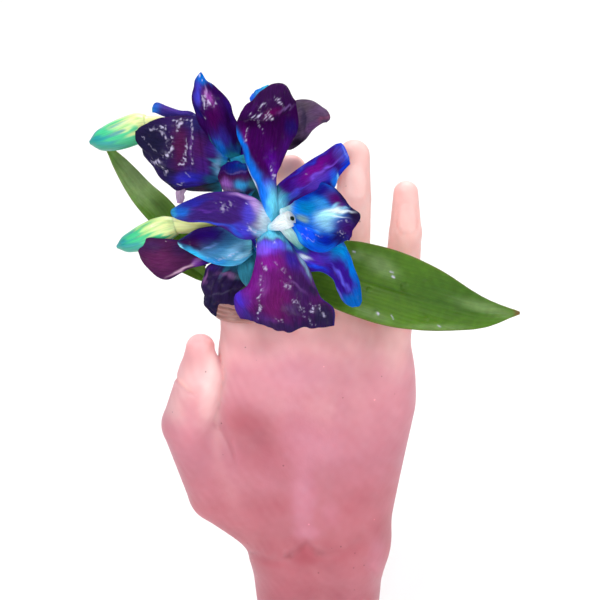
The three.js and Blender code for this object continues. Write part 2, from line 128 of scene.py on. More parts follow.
# %% Swells and steps
def swell(u, v, pitch, seed, waves=9):
    draw = np.random.default_rng(seed)
    total = np.zeros(np.shape(u))
    for _ in range(waves):
        turn, phase = draw.uniform(0, 2 * math.pi, 2)
        rate = 2 * math.pi / (pitch * draw.uniform(0.7, 1.6))
        total += np.sin((u * math.cos(turn) + v * math.sin(turn)) * rate + phase)
    return total / math.sqrt(waves)


def step(low, high, value):
    t = np.clip((value - low) / (high - low), 0, 1)
    return t * t * (3 - 2 * t)


print("a step a quarter, half and three quarters up:", [float(step(0, 1, v)) for v in (0.25, 0.5, 0.75)])

# %% [markdown]
# ## The glass hand
# The hand is cast in frosted pink glass: one smooth body with soft knuckles, tendons and nails. It
# could be sculpted by hand. Here it is described as rounded bones that melt into one another, the same
# bones as in the solid model, and a skin is stretched over them with small cells.

# %% The bones: each end is a place and a radius
FOREARM = [
    [[-7, 0, -16, 15.5], [-10.5, 0, 46, 18]],
    [[7.5, 0, -16, 16], [10.5, -1, 48, 16.8]],
]
PALM = [
    [[-12, 0, 58, 15.5], [-28, -1, 134, 11.5]],
    [[-4, -1, 58, 15.5], [-11.5, -2.5, 139, 12]],
    [[4, 0, 58, 15.5], [8.5, -1.5, 136, 11.5]],
    [[10, 1, 58, 15], [25.5, 2, 128, 11.2]],
    [[12, 3, 60, 14], [22.5, 3, 115, 13]],
    [[-25, 0, 75, 13], [-36, -1, 98, 7.5]],
    [[-31, -3, 98, 9], [-32.8, -4, 121, 6.4]],
    [[-20, -3, 132, 8.5], [-21.2, -3, 149, 4.4]],
    [[-1.5, -3, 132, 8.5], [-0.8, -3, 152, 4.6]],
    [[18.5, 0, 130, 9], [19.6, 0, 150, 4.4]],
]
THUMB = [
    [-21.5, 1, 57, 10.4], [-40.6, 0, 77, 13.6], [-51.8, -4, 109, 11.2],
    [-46.4, -8, 133, 8.6], [-46.2, -7.5, 143, 5.7],
]
FINGERS = [
    [[-30.2, -1, 144, 8.2], [-32, -2.5, 172, 7.7], [-32.5, 2.5, 190, 6.8], [-32, 8, 199, 5.6]],
    [[-11.5, -3, 148, 8.6], [-12.3, -3.5, 180, 7.9], [-12, 4, 199, 6.9], [-11.5, 11, 208.5, 5.9]],
    [[8.7, -1.5, 146, 8.3], [11.4, -2.4, 178, 7], [11.9, 0, 200, 6.5], [12, 4.5, 215.4, 5.9]],
    [[26.8, 1.5, 138, 7.8], [30.9, 1.3, 168, 6.9], [32, 3.5, 186, 6.2], [32, 7.5, 200.4, 4.7]],
]
print("bones:", len(FOREARM) + len(PALM) + len(THUMB) - 1 + sum(len(f) - 1 for f in FINGERS))

# %% [markdown]
# Every bone says how far a place is from its surface. Where two such distances are nearly the same,
# the smaller one is lowered a little more. That fills the groove between the bones, as a fillet does,
# and how wide it reaches is chosen for each kind of join. The thumb joins the palm with a web that is
# wide low down and ends higher up, so its width changes with height.

# %% Bones that melt together
MELT = {"arm": 10, "palm": 13, "wrist": 11, "joint": 0.7, "fingers": 2, "knuckles": 8}
THUMB_MELT = [50, 68, 94, 110, 124, 141], [3, 9, 9, 5, 2.2, 0.8]


def melted(distances, width):
    total = distances[0]
    for other in distances[1:]:
        near = np.maximum(width - np.abs(total - other), 0) / width
        total = np.minimum(total, other) - near * near * width / 4
    return total


def to_bone(p, a, b):
    a, b = np.array(a, float), np.array(b, float)
    along = b[:3] - a[:3]
    t = np.clip((p - a[:3]) @ along / (along @ along), 0, 1)
    return np.linalg.norm(p - a[:3] - t[:, None] * along, axis=1) - (a[3] + t * (b[3] - a[3]))


def to_chain(p, chain):
    return melted([to_bone(p, a, b) for a, b in zip(chain, chain[1:])], MELT["joint"])


print("the groove between two bones is filled by", MELT["palm"] / 4, "mm")

# %% [markdown]
# Nails and hollows are shallow, so they are added to the distance itself: a little more of it sinks
# the skin, and a little less raises it. A nail is a rounded square with a fold of skin round its root.

# %% Nails and hollows
NAILS = [  # the middle of the nail, half its length and width, and how far it leans in and sideways
    [(-32.2, -4.5, 193.5), 6.5, 4.6, 0.55, 0],
    [(-12, -2.2, 201), 6.5, 4.8, 0.6, 0],
    [(12.6, -4.6, 207), 6.8, 4.5, 0.3, 0],
    [(32.2, -0.8, 192.5), 6, 4, 0.35, -0.05],
]
NAIL_FOLD, NAIL_PLATE = 0.4, 0.16
HOLLOWS = [  # a place, how far it reaches each way, and how deep it is
    [(-25.5, -12, 107), (9.5, 8, 5.5), 1.8],
    [(-5.5, -15, 55), (8, 8, 4.5), 1.4],
    [(-7, -14, 75), (5, 8, 10), -0.7],
    [(-20, -13, 76), (7, 8, 8), 0.8],
    [(15, -14, 79), (8, 8, 7), 0.8],
]


def nail_relief(p, centre, length, width, lean, side):
    d = p - np.array(centre)
    up = np.array([side, lean, 1]) / math.hypot(side, lean, 1)
    along, across = d @ up, d[:, 0] - side * d[:, 2]
    out = d @ np.array([0, -1, lean]) / math.hypot(1, lean)
    r = (np.abs(along / length) ** 3 + np.abs(across / width) ** 3) ** (1 / 3)
    fold = NAIL_FOLD * np.where(along < 0, 1, 0.45) * np.exp(-(((r - 1) / 0.1) ** 2))
    return step(-5, -2, out) * (fold - NAIL_PLATE * (1 - step(0.8, 1, r)))


def hollow_relief(p, centre, reach, depth):
    d = (p - np.array(centre)) / np.array(reach)
    return depth * np.exp(-(d * d).sum(1))


print("nails:", len(NAILS), "hollows:", len(HOLLOWS))

# %% [markdown]
# The back of the hand has folds at the wrist and thumb. They follow bent lines, drawn in the frame
# with a depth and a width, and fade out round the side of the hand.

# %% Folds of the skin
CREASES = [  # how deep, how wide in the frame, and where it runs
    [0.7, 3.8, (288, 556), (298, 549), (305.5, 543), (312, 548), (319, 553)],
    [0.5, 4, (254, 553), (268, 559), (280, 560), (288, 556)],
    [0.45, 4, (319, 554), (343, 550), (358, 542), (366, 530)],
    [0.4, 3, (366, 560), (372, 571), (381, 584)],
    [-0.25, 2.2, (232, 440), (235.5, 450), (237, 463)],
    [0.3, 3, (216, 424), (227, 440), (233, 456)],
    [0.3, 2.5, (221, 402), (213, 421)],
    [0.5, 1.7, (175, 375), (180, 384), (187, 391), (195, 394)],
    [-0.2, 2, (177, 382), (183, 389), (190, 395), (198, 398)],
    [0.22, 2.4, (208, 352), (209, 366), (206, 382), (198, 393)],
    [0.3, 1.8, (189, 348), (194, 341), (203, 339), (212, 345), (217, 353)],
]


def carving(p):
    extra = sum(nail_relief(p, *nail) for nail in NAILS)
    extra = extra + sum(hollow_relief(p, *hollow) for hollow in HOLLOWS)
    place, back = seen(p), step(-1, -6, p[:, 1])
    for depth, reach, *line in CREASES:
        extra += depth * back * np.exp(-((to_line(place, line) / reach) ** 2))
    return extra


def to_hand(p):
    arm = melted([to_bone(p, a, b) for a, b in FOREARM], MELT["arm"])
    palm = melted([to_bone(p, a, b) for a, b in PALM], MELT["palm"])
    fingers = melted([to_chain(p, chain) for chain in FINGERS], MELT["fingers"])
    width = np.interp(p[:, 2], *THUMB_MELT)
    back = melted([melted([arm, palm], MELT["wrist"]), fingers], MELT["knuckles"])
    return np.maximum(melted([back, to_chain(p, THUMB)], width) + carving(p), -p[:, 2])


print("inside the palm:", to_hand(np.array([[0.0, 0, 100]])).round(1), "mm")

# %% [markdown]
# The skin gets one point in each small cell that the surface passes through, in the middle of the
# places where it crosses the edges of that cell. One face goes round each edge that it crosses.

# %% Points and faces of a skin
def crossings(value, grid):
    cells = tuple(n - 1 for n in value.shape)
    total, hits = np.zeros(cells + (3,)), np.zeros(cells)
    for axis in range(3):
        for shift in np.ndindex(2, 2):
            start = [slice(0, n) for n in cells]
            for other, s in zip([a for a in range(3) if a != axis], shift):
                start[other] = slice(s, s + cells[other])
            end = list(start)
            end[axis] = slice(1, 1 + cells[axis])
            start, end = tuple(start), tuple(end)
            a, b = value[start], value[end]
            cross = (a < 0) != (b < 0)
            share = np.where(cross, a / np.where(cross, a - b, 1), 0)[..., None]
            total += cross[..., None] * (grid[start] * (1 - share) + grid[end] * share)
            hits += cross
    return total, hits


def faces_round_edges(inside, number):
    faces = []
    for axis in range(3):
        flips = np.argwhere(inside != np.roll(inside, -1, axis))
        flips = flips[(flips > 0).all(1) & (flips < np.array(number.shape)).all(1)]
        b, c = np.eye(3, dtype=int)[(axis + 1) % 3], np.eye(3, dtype=int)[(axis + 2) % 3]
        ring = np.stack([number[tuple((flips - o).T)] for o in (0 * b, b, b + c, c)], 1)
        faces.append(np.where(inside[tuple(flips.T)][:, None], ring, ring[:, ::-1]))
    return np.concatenate(faces)


inside = np.zeros((4, 4, 4), bool)
inside[1, 1, 1] = True
print("faces round one full cell:", len(faces_round_edges(inside, np.arange(27).reshape(3, 3, 3))))

# %% [markdown]
# A skin made so is a little lumpy. Each point is therefore slid along the slope of the distance,
# three times, until it lies on the surface. The slope is kept, because it tells which way is out.

# %% The skin of the hand
CELL, PROBE = 0.95, 0.05
LOW, HIGH = (-72, -26, -3), (46, 26, 226)
BACK_OF_HAND = 20.9  # the solid hand ends here towards +Y


def settled(field, points):
    for _ in range(3):
        here = field(points)
        slope = np.stack([(field(points + PROBE * e) - here) / PROBE for e in np.eye(3)], 1)
        points = points - slope * (here / np.maximum((slope**2).sum(1), 0.2))[:, None]
    return points, slope


def skin_of(field, low, high, cell):
    axes = [np.arange(a, b + cell, cell) for a, b in zip(low, high)]
    grid = np.stack(np.meshgrid(*axes, indexing="ij"), -1)
    value = field(grid.reshape(-1, 3)).reshape(grid.shape[:3])
    total, hits = crossings(value, grid)
    used = hits > 0
    number = np.full(hits.shape, -1)
    number[used] = np.arange(used.sum())
    points, slope = settled(field, total[used] / hits[used][:, None])
    return points, faces_round_edges(value < 0, number), slope


skin, skin_faces, skin_slope = skin_of(to_hand, LOW, HIGH, CELL)
skin[:, 1] = np.where(skin[:, 1] > 0, skin[:, 1] * min(1, BACK_OF_HAND / skin[:, 1].max()), skin[:, 1])
skin[:, 2] = np.maximum(skin[:, 2], 0)
print("hand:", len(skin), "points, up to", skin[:, 2].max().round(1), "mm high")

# %% [markdown]
# ## Colours
# A colour on a sample card is read as screen values, but light adds up in linear values, so one
# helper turns the first into the second. The other two mix colours, and lay soft patches over a
# piece, each with its place in the frame, its size, its turn and its strength.

# %% Colours and patches
def colour(red, green, blue):
    share = np.array([red, green, blue]) / 255
    return np.where(share <= 0.04045, share / 12.92, ((share + 0.055) / 1.055) ** 2.4)


def mix(tone, other, share):
    return tone + (np.asarray(other) - tone) * np.asarray(share)[..., None]


def patched(tone, place, marks, cover=1):
    """A patch has a named colour, or three screen values."""
    for *shape, patch, strength in marks:
        patch = colour(*patch) if isinstance(patch, tuple) else patch
        tone = mix(tone, patch, strength * cover * soft_spot(place, *shape))
    return tone


print("half way from black to white:", colour(128, 128, 128).round(3))

# %% [markdown]
# Tinted glass looks deeper where there is more of it. So the tint deepens from the fingertips down to the
# wrist, and thin parts are paler: how thin is read from the body itself, one finger's width under the skin.
# Soft patches follow the hollows and swells on the back of the hand; the darker ones are painted shade in its
# hollows and creases. A grey-brown patch on the middle fingertip is the painted shadow of the flowers, and
# painted shade darkens the rims of the upper fingers, where the skin turns sideways.

# %% Tint of the glass
TINT_HEIGHTS = [0, 45, 62, 79, 100, 135, 150, 165, 215]
TINTS = np.array([colour(*tint) for tint in (
    (177, 106, 119), (181, 109, 120), (181, 108, 118), (186, 115, 126), (191, 123, 137),
    (208, 145, 156), (220, 161, 167), (230, 184, 181), (234, 194, 189))])
PEACH, LILAC = colour(242, 196, 190), colour(203, 138, 158)
SHADE_PINK, PALE, RIM_SHADE = colour(172, 86, 98), colour(240, 212, 208), colour(204, 166, 160)
# SHADE_PINK patches are painted shade: in the hollows and creases of the back of the hand, and low on the
# wrist.
GLASS_MARKS = [  # place in the frame, half sizes, turn, colour, strength
    (256, 437, 40, 26, 50, SHADE_PINK, 0.62), (243, 420, 18, 12, 20, SHADE_PINK, 0.45), (270, 508, 20, 14, 0, SHADE_PINK, 0.3),
    (356, 500, 24, 13, -30, SHADE_PINK, 0.35), (378, 525, 10, 14, 0, SHADE_PINK, 0.3), (300, 372, 34, 18, 0, LILAC, 0.4),
    (312, 440, 30, 20, 30, LILAC, 0.45), (304, 500, 36, 12, 92, LILAC, 0.6),
    (308, 533, 14, 7, 0, LILAC, 0.45), (330, 515, 10, 12, 0, LILAC, 0.3), (305, 551, 10, 9, 90, SHADE_PINK, 0.8),
    (306, 559, 17, 7, 0, SHADE_PINK, 0.8), (272, 564, 24, 4, 12, SHADE_PINK, 0.4), (346, 555, 22, 5, -28, SHADE_PINK, 0.35),
    (376, 556, 22, 9, 95, LILAC, 0.3), (300, 590, 34, 10, 0, SHADE_PINK, 0.4),
    # The grey-brown patch at (293, 166) is the painted shadow of the flowers on the middle fingertip.
    (293, 166, 16, 14, 0, (164, 130, 134), 0.9), (300, 425, 34, 14, 0, SHADE_PINK, 0.2),
    # The dark line at (184.5, 386) is painted shade in the fold round the thumb's nail, and the dark mark at
    # (213, 347) is painted shade at its tip.
    (213, 378, 40, 12, 98, PALE, 0.75), (184.5, 386, 14, 1.3, 42, (206, 132, 134), 0.7),
    (190, 378, 20, 12, 100, PALE, 0.4), (188, 356, 20, 10, 105, (218, 166, 170), 0.5),
    (174, 408, 16, 10, 70, PALE, 0.3), (396, 345, 12, 30, 0, PALE, 0.3),
    (213, 347, 5, 6, 30, (206, 136, 134), 0.5), (182, 383, 12, 2, 42, PEACH, 0.6),
]
THICK = 13


def glass_tint(points, slope):
    out = slope / np.linalg.norm(slope, axis=1)[:, None]
    thin = step(11, 2, -to_hand(points - THICK * out))
    tone = np.stack([np.interp(points[:, 2], TINT_HEIGHTS, TINTS[:, k]) for k in range(3)], 1)
    tone = patched(mix(tone, PEACH, 0.3 * thin), seen(points), GLASS_MARKS, step(0.05, 0.5, -out[:, 1]))
    # Painted shade: the rims of the upper fingers, where the skin turns sideways, are made darker.
    edge = step(0.6, 0.1, np.abs(out[:, 1])) * step(140, 170, points[:, 2])
    tone = mix(tone, RIM_SHADE, 0.6 * edge)
    x, y, z = points.T
    cloud = swell(x + 0.4 * y, z, 11, 71) + 0.7 * swell(x, z - y, 4, 72)
    return tone * (1 + 0.035 * cloud[:, None] * np.array([0.5, 1.1, 1]))


hand_part = {
    "points": skin, "faces": skin_faces.tolist(),
    "dye": glass_tint(skin, skin_slope), "grain": skin,
}
print("tint from", hand_part["dye"].min(0).round(2), "to", hand_part["dye"].max(0).round(2))

# %% [markdown]
# ## Meshes from lists of points
# Every piece ends as points and four-sided faces, with a few numbers stored on the points: a dye
# colour, and a grain that says how far along and across the piece a point lies. Materials read both.

# %% One object from several parts
def store(mesh, name, kind, values):
    field = mesh.attributes.new(name, kind, "POINT")
    field.data.foreach_set("color" if kind == "FLOAT_COLOR" else "vector", values.astype(np.float32).ravel())


def make(name, parts, finishes, node):
    mesh = bpy.data.meshes.new(name)
    start, faces, owners = 0, [], []
    for part in parts:
        faces += [[start + i for i in face] for face in part["faces"]]
        owners += [part.get("finish", 0)] * len(part["faces"])
        start += len(part["points"])
    points, dye, grain = (np.concatenate([part[key] for part in parts]) for key in ("points", "dye", "grain"))
    wet = np.concatenate([part.get("wet", np.zeros(len(part["points"]))) for part in parts])
    mesh.from_pydata((points * MM).tolist(), [], faces)
    for finish in finishes:
        mesh.materials.append(finish)
    mesh.polygons.foreach_set("material_index", owners)
    store(mesh, "dye", "FLOAT_COLOR", np.column_stack([dye, wet]))
    store(mesh, "grain", "FLOAT_VECTOR", grain)
    mesh.validate()
    mesh.shade_smooth()
    piece = bpy.data.objects.new(name, mesh)
    bpy.context.scene.collection.objects.link(piece)
    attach(piece, "root")
    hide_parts(node)
    print(name, len(mesh.polygons), "faces")


print("the solids it may replace:", len(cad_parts))

# %% [markdown]
# ## Shader helpers
# Each finish is a Principled shader with a small tree of procedural nodes in front of it. Such a tree
# can be drawn in the shader editor. Here one short line for each node says the same.

# %% Finishes and nodes
def finish(name, **values):
    material = bpy.data.materials.new(name)
    material.use_nodes = True
    shader = material.node_tree.nodes["Principled BSDF"]
    for key, value in values.items():
        shader.inputs[key.replace("_", " ")].default_value = value
    return material


def add(material, kind, settings=None, **links):
    """A node whose inputs are numbers, or outputs of other nodes."""
    tree = material.node_tree
    node = tree.nodes.new("ShaderNode" + kind)
    for key, value in (settings or {}).items():
        setattr(node, key, value)
    for key, value in links.items():
        socket = node.inputs[int(key[1:])] if key[1:].isdigit() else node.inputs[key.replace("_", " ")]
        if isinstance(value, bpy.types.NodeSocket):
            tree.links.new(value, socket)
        else:
            socket.default_value = value
    return node


def feed(material, name, output):
    shader = material.node_tree.nodes["Principled BSDF"]
    material.node_tree.links.new(output, shader.inputs[name])


print("parts waiting for a finish:", len([hand_part]))

# %% [markdown]
# A few small trees come back in every finish: a number's range turned into another's, a colour made
# darker or lighter by a number, fibres that run along the grain, and a surface that is slightly rough.

# %% Ranges, shades and fibres
def attribute(material, name):
    return add(material, "Attribute", {"attribute_name": name})


def band_of(material, value, low, high, out_low, out_high):
    node = add(material, "MapRange", {"interpolation_type": "SMOOTHSTEP"}, Value=value)
    for key, number in zip(("From Min", "From Max", "To Min", "To Max"), (low, high, out_low, out_high)):
        node.inputs[key].default_value = number
    return node.outputs["Result"]


def shade(material, base, factor):
    node = add(material, "VectorMath", {"operation": "SCALE"}, i0=base)
    material.node_tree.links.new(factor, node.inputs["Scale"])
    return node.outputs["Vector"]


def math_of(material, operation, *values):
    node = add(material, "Math", {"operation": operation})
    for socket, value in zip(node.inputs, values):
        if isinstance(value, bpy.types.NodeSocket):
            material.node_tree.links.new(value, socket)
        else:
            socket.default_value = value
    return node.outputs[0]


def noise(material, place, scale, detail, **more):
    return add(material, "TexNoise", Vector=place, Scale=scale, Detail=detail, **more).outputs["Fac"]


def fibres_of(material, grain, along, across):
    node = add(material, "VectorMath", {"operation": "MULTIPLY"}, i0=grain, i1=(along, across, 1))
    return node.outputs["Vector"]


def roughen(material, height, strength, depth, name="Normal"):
    bump = add(material, "Bump", Strength=strength, Distance=depth, Height=height)
    feed(material, name, bump.outputs["Normal"])


print("finishes so far:", len(bpy.data.materials))

# %% [markdown]
# ## Frosted glass
# Clear glass would need many bounces of light and would show the stems behind it. Frosted glass
# scatters light inside, much as wax does, so a strong subsurface glow under a soft satin skin comes
# closer. Fine pits, a few specks and small bubbles keep it from looking like plastic.

# %% Frosted glass: its colour
frosted = finish("frosted_glass", Roughness=0.5, IOR=1.45, Specular_IOR_Level=0.3,
                 Subsurface_Weight=0.9, Subsurface_Scale=0.012, Subsurface_Radius=(1, 0.55, 0.55))
place = add(frosted, "TexCoord").outputs["Object"]
cloud = noise(frosted, place, 45, 3)
dye = attribute(frosted, "dye").outputs["Color"]
tinted = shade(frosted, dye, band_of(frosted, cloud, 0.3, 0.7, 0.95, 1.04))
specks = add(frosted, "TexVoronoi", {"feature": "F1"}, Vector=place, Scale=210)
speck = band_of(frosted, specks.outputs["Distance"], 0.05, 0.1, 1, 0)
draw = add(frosted, "SeparateColor", Color=specks.outputs["Color"])
dark = math_of(frosted, "MULTIPLY", speck, math_of(frosted, "GREATER_THAN", draw.outputs["Red"], 0.72))
bubble = math_of(frosted, "MULTIPLY", speck, math_of(frosted, "GREATER_THAN", draw.outputs["Green"], 0.85))
tinted = shade(frosted, tinted, band_of(frosted, bubble, 0, 1, 1, 1.35))
feed(frosted, "Base Color", shade(frosted, tinted, band_of(frosted, dark, 0, 1, 1, 0.55)))
print("nodes so far:", len(frosted.node_tree.nodes))

# %% Frosted glass: its pits and waves
pits, waves = noise(frosted, place, 900, 2), noise(frosted, place, 70, 2)
roughen(frosted, math_of(frosted, "MULTIPLY_ADD", waves, 4.0, pits), 0.12, 0.0006)
feed(frosted, "Roughness", band_of(frosted, cloud, 0.3, 0.7, 0.36, 0.5))
make("hand", [hand_part], [frosted], "hand_stand")

# %% [markdown]
# ## The finger band
# A ribbed plastic band grips the index finger. It could be a torus with ribs modelled on it, but a
# finger isn't round. So the band is a closed ring of short rows: its inside is pushed out from the
# middle of the finger until it meets the skin, and its outside rises and falls with the ribs.

# %% Ribbed band
BAND_LOW, BAND_HIGH = 155, 167
BAND_WALL, BAND_CLEARANCE, RIB_DEPTH, RIBS = 1.3, 0.65, 0.5, 6
BAND_SIDES, RIB_ROWS, INNER_ROWS = 120, 10, 8
FARTHEST = 1.1  # the band goes no farther from the finger's middle than this share of the usual


def ring_faces(rows, columns, close_rows=False):
    return [
        (r * columns + c, r * columns + (c + 1) % columns,
         (r + 1) % rows * columns + (c + 1) % columns, (r + 1) % rows * columns + c)
        for r in range(rows if close_rows else rows - 1) for c in range(columns)
    ]


def to_skin(axis, way):
    near, far = np.zeros(len(way)), np.full(len(way), 20.0)
    for _ in range(20):
        middle = (near + far) / 2
        within = to_hand(axis + way * middle[:, None]) < BAND_CLEARANCE
        near, far = np.where(within, middle, near), np.where(within, far, middle)
    return np.minimum(far, FARTHEST * np.median(far))


def band_part():
    turn = np.linspace(0, 2 * math.pi, BAND_SIDES, endpoint=False)
    way = np.column_stack([np.cos(turn), np.sin(turn), 0 * turn])
    profile = [(0.0, z) for z in np.linspace(BAND_LOW, BAND_HIGH, INNER_ROWS)]
    for i in range(RIBS * RIB_ROWS + 1):
        rib = RIB_DEPTH * math.sin(math.pi * i / RIB_ROWS) ** 2
        profile.append((BAND_WALL + rib, BAND_HIGH + (BAND_LOW - BAND_HIGH) * i / (RIBS * RIB_ROWS)))
    low, high = FINGERS[0][:2]
    rows = []
    for out, z in profile:
        t = (z - low[2]) / (high[2] - low[2])
        axis = np.array([low[i] + t * (high[i] - low[i]) for i in (0, 1)] + [z])
        rows.append(axis + way * (to_skin(axis, way) + out)[:, None])
    points = np.concatenate(rows)
    faces = ring_faces(len(rows), BAND_SIDES, close_rows=True)
    return {"points": points, "faces": faces, "dye": np.ones((len(points), 3)), "grain": points}


band = band_part()
print("band:", np.ptp(band["points"], axis=0).round(1), "mm")

# %% [markdown]
# A small oval pad on the band carries the flowers. The pad, the stems and the buds are all rings in a
# row, closed at both ends, so one helper makes the faces for all of them.

# %% Pad of the band
PAD_CENTRE, PAD_SIZE, PAD_SIDES = np.array([-28, -12.4, 166.5]), np.array([20, 2.4, 12]), 64
PAD_PROFILE = (0.93, -1), (0.98, -0.86), (1, -0.6), (1, 0.6), (0.98, 0.86), (0.93, 1)


def tube(rings, tone, grain):
    rows, sides = rings.shape[:2]
    first, last = rows * sides, (rows - 1) * sides
    faces = ring_faces(rows, sides)
    faces += [((c + 1) % sides, c, first) for c in range(sides)]
    faces += [(last + c, last + (c + 1) % sides, first + 1) for c in range(sides)]
    ends = [np.concatenate([v.reshape(-1, 3), v[0].mean(0)[None], v[-1].mean(0)[None]])
            for v in (rings, np.broadcast_to(tone, rings.shape), np.broadcast_to(grain, rings.shape))]
    return {"points": ends[0], "faces": faces, "dye": ends[1], "grain": ends[2]}


def pad_part():
    turn = np.linspace(0, 2 * math.pi, PAD_SIDES, endpoint=False)
    rings = np.array([
        np.column_stack([np.cos(turn) * size, out + 0 * turn, np.sin(turn) * size])
        for size, out in PAD_PROFILE])
    rings = rings * PAD_SIZE / 2 + PAD_CENTRE
    return tube(rings, np.ones(3), rings)


print("pad:", PAD_SIZE, "mm")

# %% [markdown]
# The plastic is brown and smoky: two browns in a soft noise, some light inside it, and fine scratches
# that only show where a lamp is mirrored.

# %% Smoky plastic
smoky = finish("band_plastic", Roughness=0.32, IOR=1.5, Subsurface_Weight=0.3, Subsurface_Scale=0.004)
place = add(smoky, "TexCoord").outputs["Object"]
haze = noise(smoky, place, 160, 4)
browns = add(smoky, "ValToRGB", Fac=haze)
browns.color_ramp.elements[0].color = (0.3, 0.14, 0.12, 1)
browns.color_ramp.elements[1].color = (0.48, 0.25, 0.23, 1)
feed(smoky, "Base Color", browns.outputs["Color"])
roughen(smoky, noise(smoky, place, 1400, 2), 0.08, 0.0003)
feed(smoky, "Roughness", band_of(smoky, haze, 0.3, 0.7, 0.24, 0.42))
make("finger_band_ribbed", [band, pad_part()], [smoky], "finger_band")

# %% [markdown]
# ## Stems
# Stems are round bars, thicker at the joints. A curve object with a bevel would do, but bars made
# from points can swell, and they join the petals in one mesh. A smooth curve runs through a few
# points, and thin rings stand across it.

# %% Round bars
def flow(stops, count):
    """A smooth curve, or row of rows, through stops."""
    stops = np.asarray(stops, float)
    place = np.linspace(0, len(stops) - 1, count)
    low = np.minimum(place.astype(int), len(stops) - 2)
    t = (place - low).reshape(-1, *[1] * (stops.ndim - 1))
    first, last = 2 * stops[0] - stops[1], 2 * stops[-1] - stops[-2]
    padded = np.concatenate([first[None], stops, last[None]])
    a, b, c, d = (padded[low + k] for k in range(4))
    cubic = 3 * b - a - 3 * c + d
    return (2 * b + (c - a) * t + (2 * a - 5 * b + 4 * c - d) * t**2 + cubic * t**3) / 2


def unit(v):
    return v / np.maximum(np.linalg.norm(v, axis=-1, keepdims=True), 1e-9)


def ring_line(path, radii, sides, rows):
    line = flow(np.array(path, float), rows)
    along = unit(np.gradient(line, axis=0))
    side = unit(np.cross(along, [0.13, -0.9, 0.41]))
    radius = flow(np.array(radii, float)[:, None], rows)
    turn = np.linspace(0, 2 * math.pi, sides, endpoint=False)[None, :, None]
    return line[:, None] + radius[:, None] * (
        np.cos(turn) * side[:, None] + np.sin(turn) * np.cross(along, side)[:, None])


def bar(path, radii, dye, sides=16, rows=40):
    rings = ring_line(path, radii, sides, rows)
    length = np.linalg.norm(np.diff(rings.mean(1), axis=0), axis=1).sum()
    tone = flow(np.array(dye), rows) if len(np.shape(dye)) == 2 else np.tile(dye, (rows, 1))
    grain = np.zeros(rings.shape)
    grain[..., 0] = np.linspace(0, length, rows)[:, None]
    grain[..., 1] = np.linspace(0, 2 * math.pi * np.mean(radii), sides)
    return tube(rings, tone[:, None], grain)


print("a curve through 0, 1, 4:", flow([[0], [1], [4]], 5).ravel().round(2))

# %% [markdown]
# The stem of the spray is green with paler stretches. Noise that is pulled long along the grain gives
# it fibres, in its colour and as a fine relief.

# %% Stem of the spray
GREEN, PALE_GREEN = colour(112, 150, 62), colour(186, 198, 110)
SPRAY = [[-25, -18, 167], [-27, -17.5, 180], [-31, -17, 193], [-37, -16, 207], [-46, -14, 221]]


def fibrous(material, along, across, scale, detail, dark, light, relief, depth):
    """Dye that is streaked along the grain, over a fine relief of fibres."""
    grain = attribute(material, "grain").outputs["Vector"]
    streak = noise(material, fibres_of(material, grain, along, across), scale, detail)
    dye = attribute(material, "dye").outputs["Color"]
    roughen(material, streak, relief, depth)
    return shade(material, dye, band_of(material, streak, 0.3, 0.7, dark, light))


stem_skin = finish("green_stem", Roughness=0.45, Subsurface_Weight=0.1, Subsurface_Scale=0.002,
                   Coat_Weight=0.15)
feed(stem_skin, "Base Color", fibrous(stem_skin, 0.12, 2.2, 1.4, 4, 0.78, 1.12, 0.25, 0.0003))
make("stem_of_the_spray", [bar(SPRAY, [1.6, 1.5, 1.4, 1.3, 1.1], [GREEN, PALE_GREEN, GREEN])],
     [stem_skin], "spray_stem")

# %% [markdown]
# ## Stem tape
# Green stem tape holds the bundle. It is wound in slanting turns that overlap, so the roll gets a low
# step at each turn and a crinkled, waxy skin. A spiral strip would show the same steps, but would
# leave edges that catch the light. One closed roll whose radius drops at each turn looks softer.

# %% Taped roll
BINDING = [[-35.5, -18, 169], [-15, -18, 172]]
ROLL_RADIUS, TURNS, TAPE_STEP, ROLL_ROWS, ROLL_SIDES = 4.3, 7, 0.35, 110, 56
SEAT = PAD_CENTRE[1] - PAD_SIZE[1] / 2 - 0.3
DARK_GREEN = colour(52, 88, 34)


def taped_roll():
    start, end = np.array(BINDING, float)
    axis = unit(end - start)
    side = unit(np.cross(axis, [0, 1, 0]))
    other = np.cross(axis, side)
    t = np.linspace(0, 1, ROLL_ROWS)[:, None]
    turn = np.linspace(0, 2 * math.pi, ROLL_SIDES, endpoint=False)[None]
    lap = (TURNS * t + turn / (2 * math.pi)) % 1
    radius = ROLL_RADIUS - TAPE_STEP * lap + 0.06 * swell(t * 22 + 0 * turn, turn * 4.6 + 0 * t, 1.6, 5)
    ends = np.sqrt(np.clip(1 - np.clip(np.abs(2 * t - 1) * 1.06 - 0.94, 0, 1) ** 2 / 0.0145, 0.3, 1))
    radius = np.minimum(radius * ends, ROLL_RADIUS)
    rings = start + t[..., None] * (end - start) + radius[..., None] * (
        np.cos(turn)[..., None] * side + np.sin(turn)[..., None] * other)
    rings[..., 1] = np.minimum(rings[..., 1], SEAT)
    return tube(rings, DARK_GREEN, rings)


tape = finish("stem_tape", Roughness=0.55, Subsurface_Weight=0.05, Subsurface_Scale=0.002)
place = add(tape, "TexCoord").outputs["Object"]
wax = noise(tape, place, 300, 5)
dye = attribute(tape, "dye").outputs["Color"]
feed(tape, "Base Color", shade(tape, dye, band_of(tape, wax, 0.3, 0.7, 0.7, 1.35)))
roughen(tape, wax, 0.35, 0.0004)
make("taped_roll", [taped_roll()], [tape], "stem_binding")

# %% [markdown]
# ## Thin blades
# Leaves and petals are thin sheets. A sheet starts as a small grid of points, which the curves make
# fine. It gets a thickness that fades towards its rim, and a skin on both sides, so it is a closed
# body. Across and along numbers go from -1 to 1 and from 0 to 1.

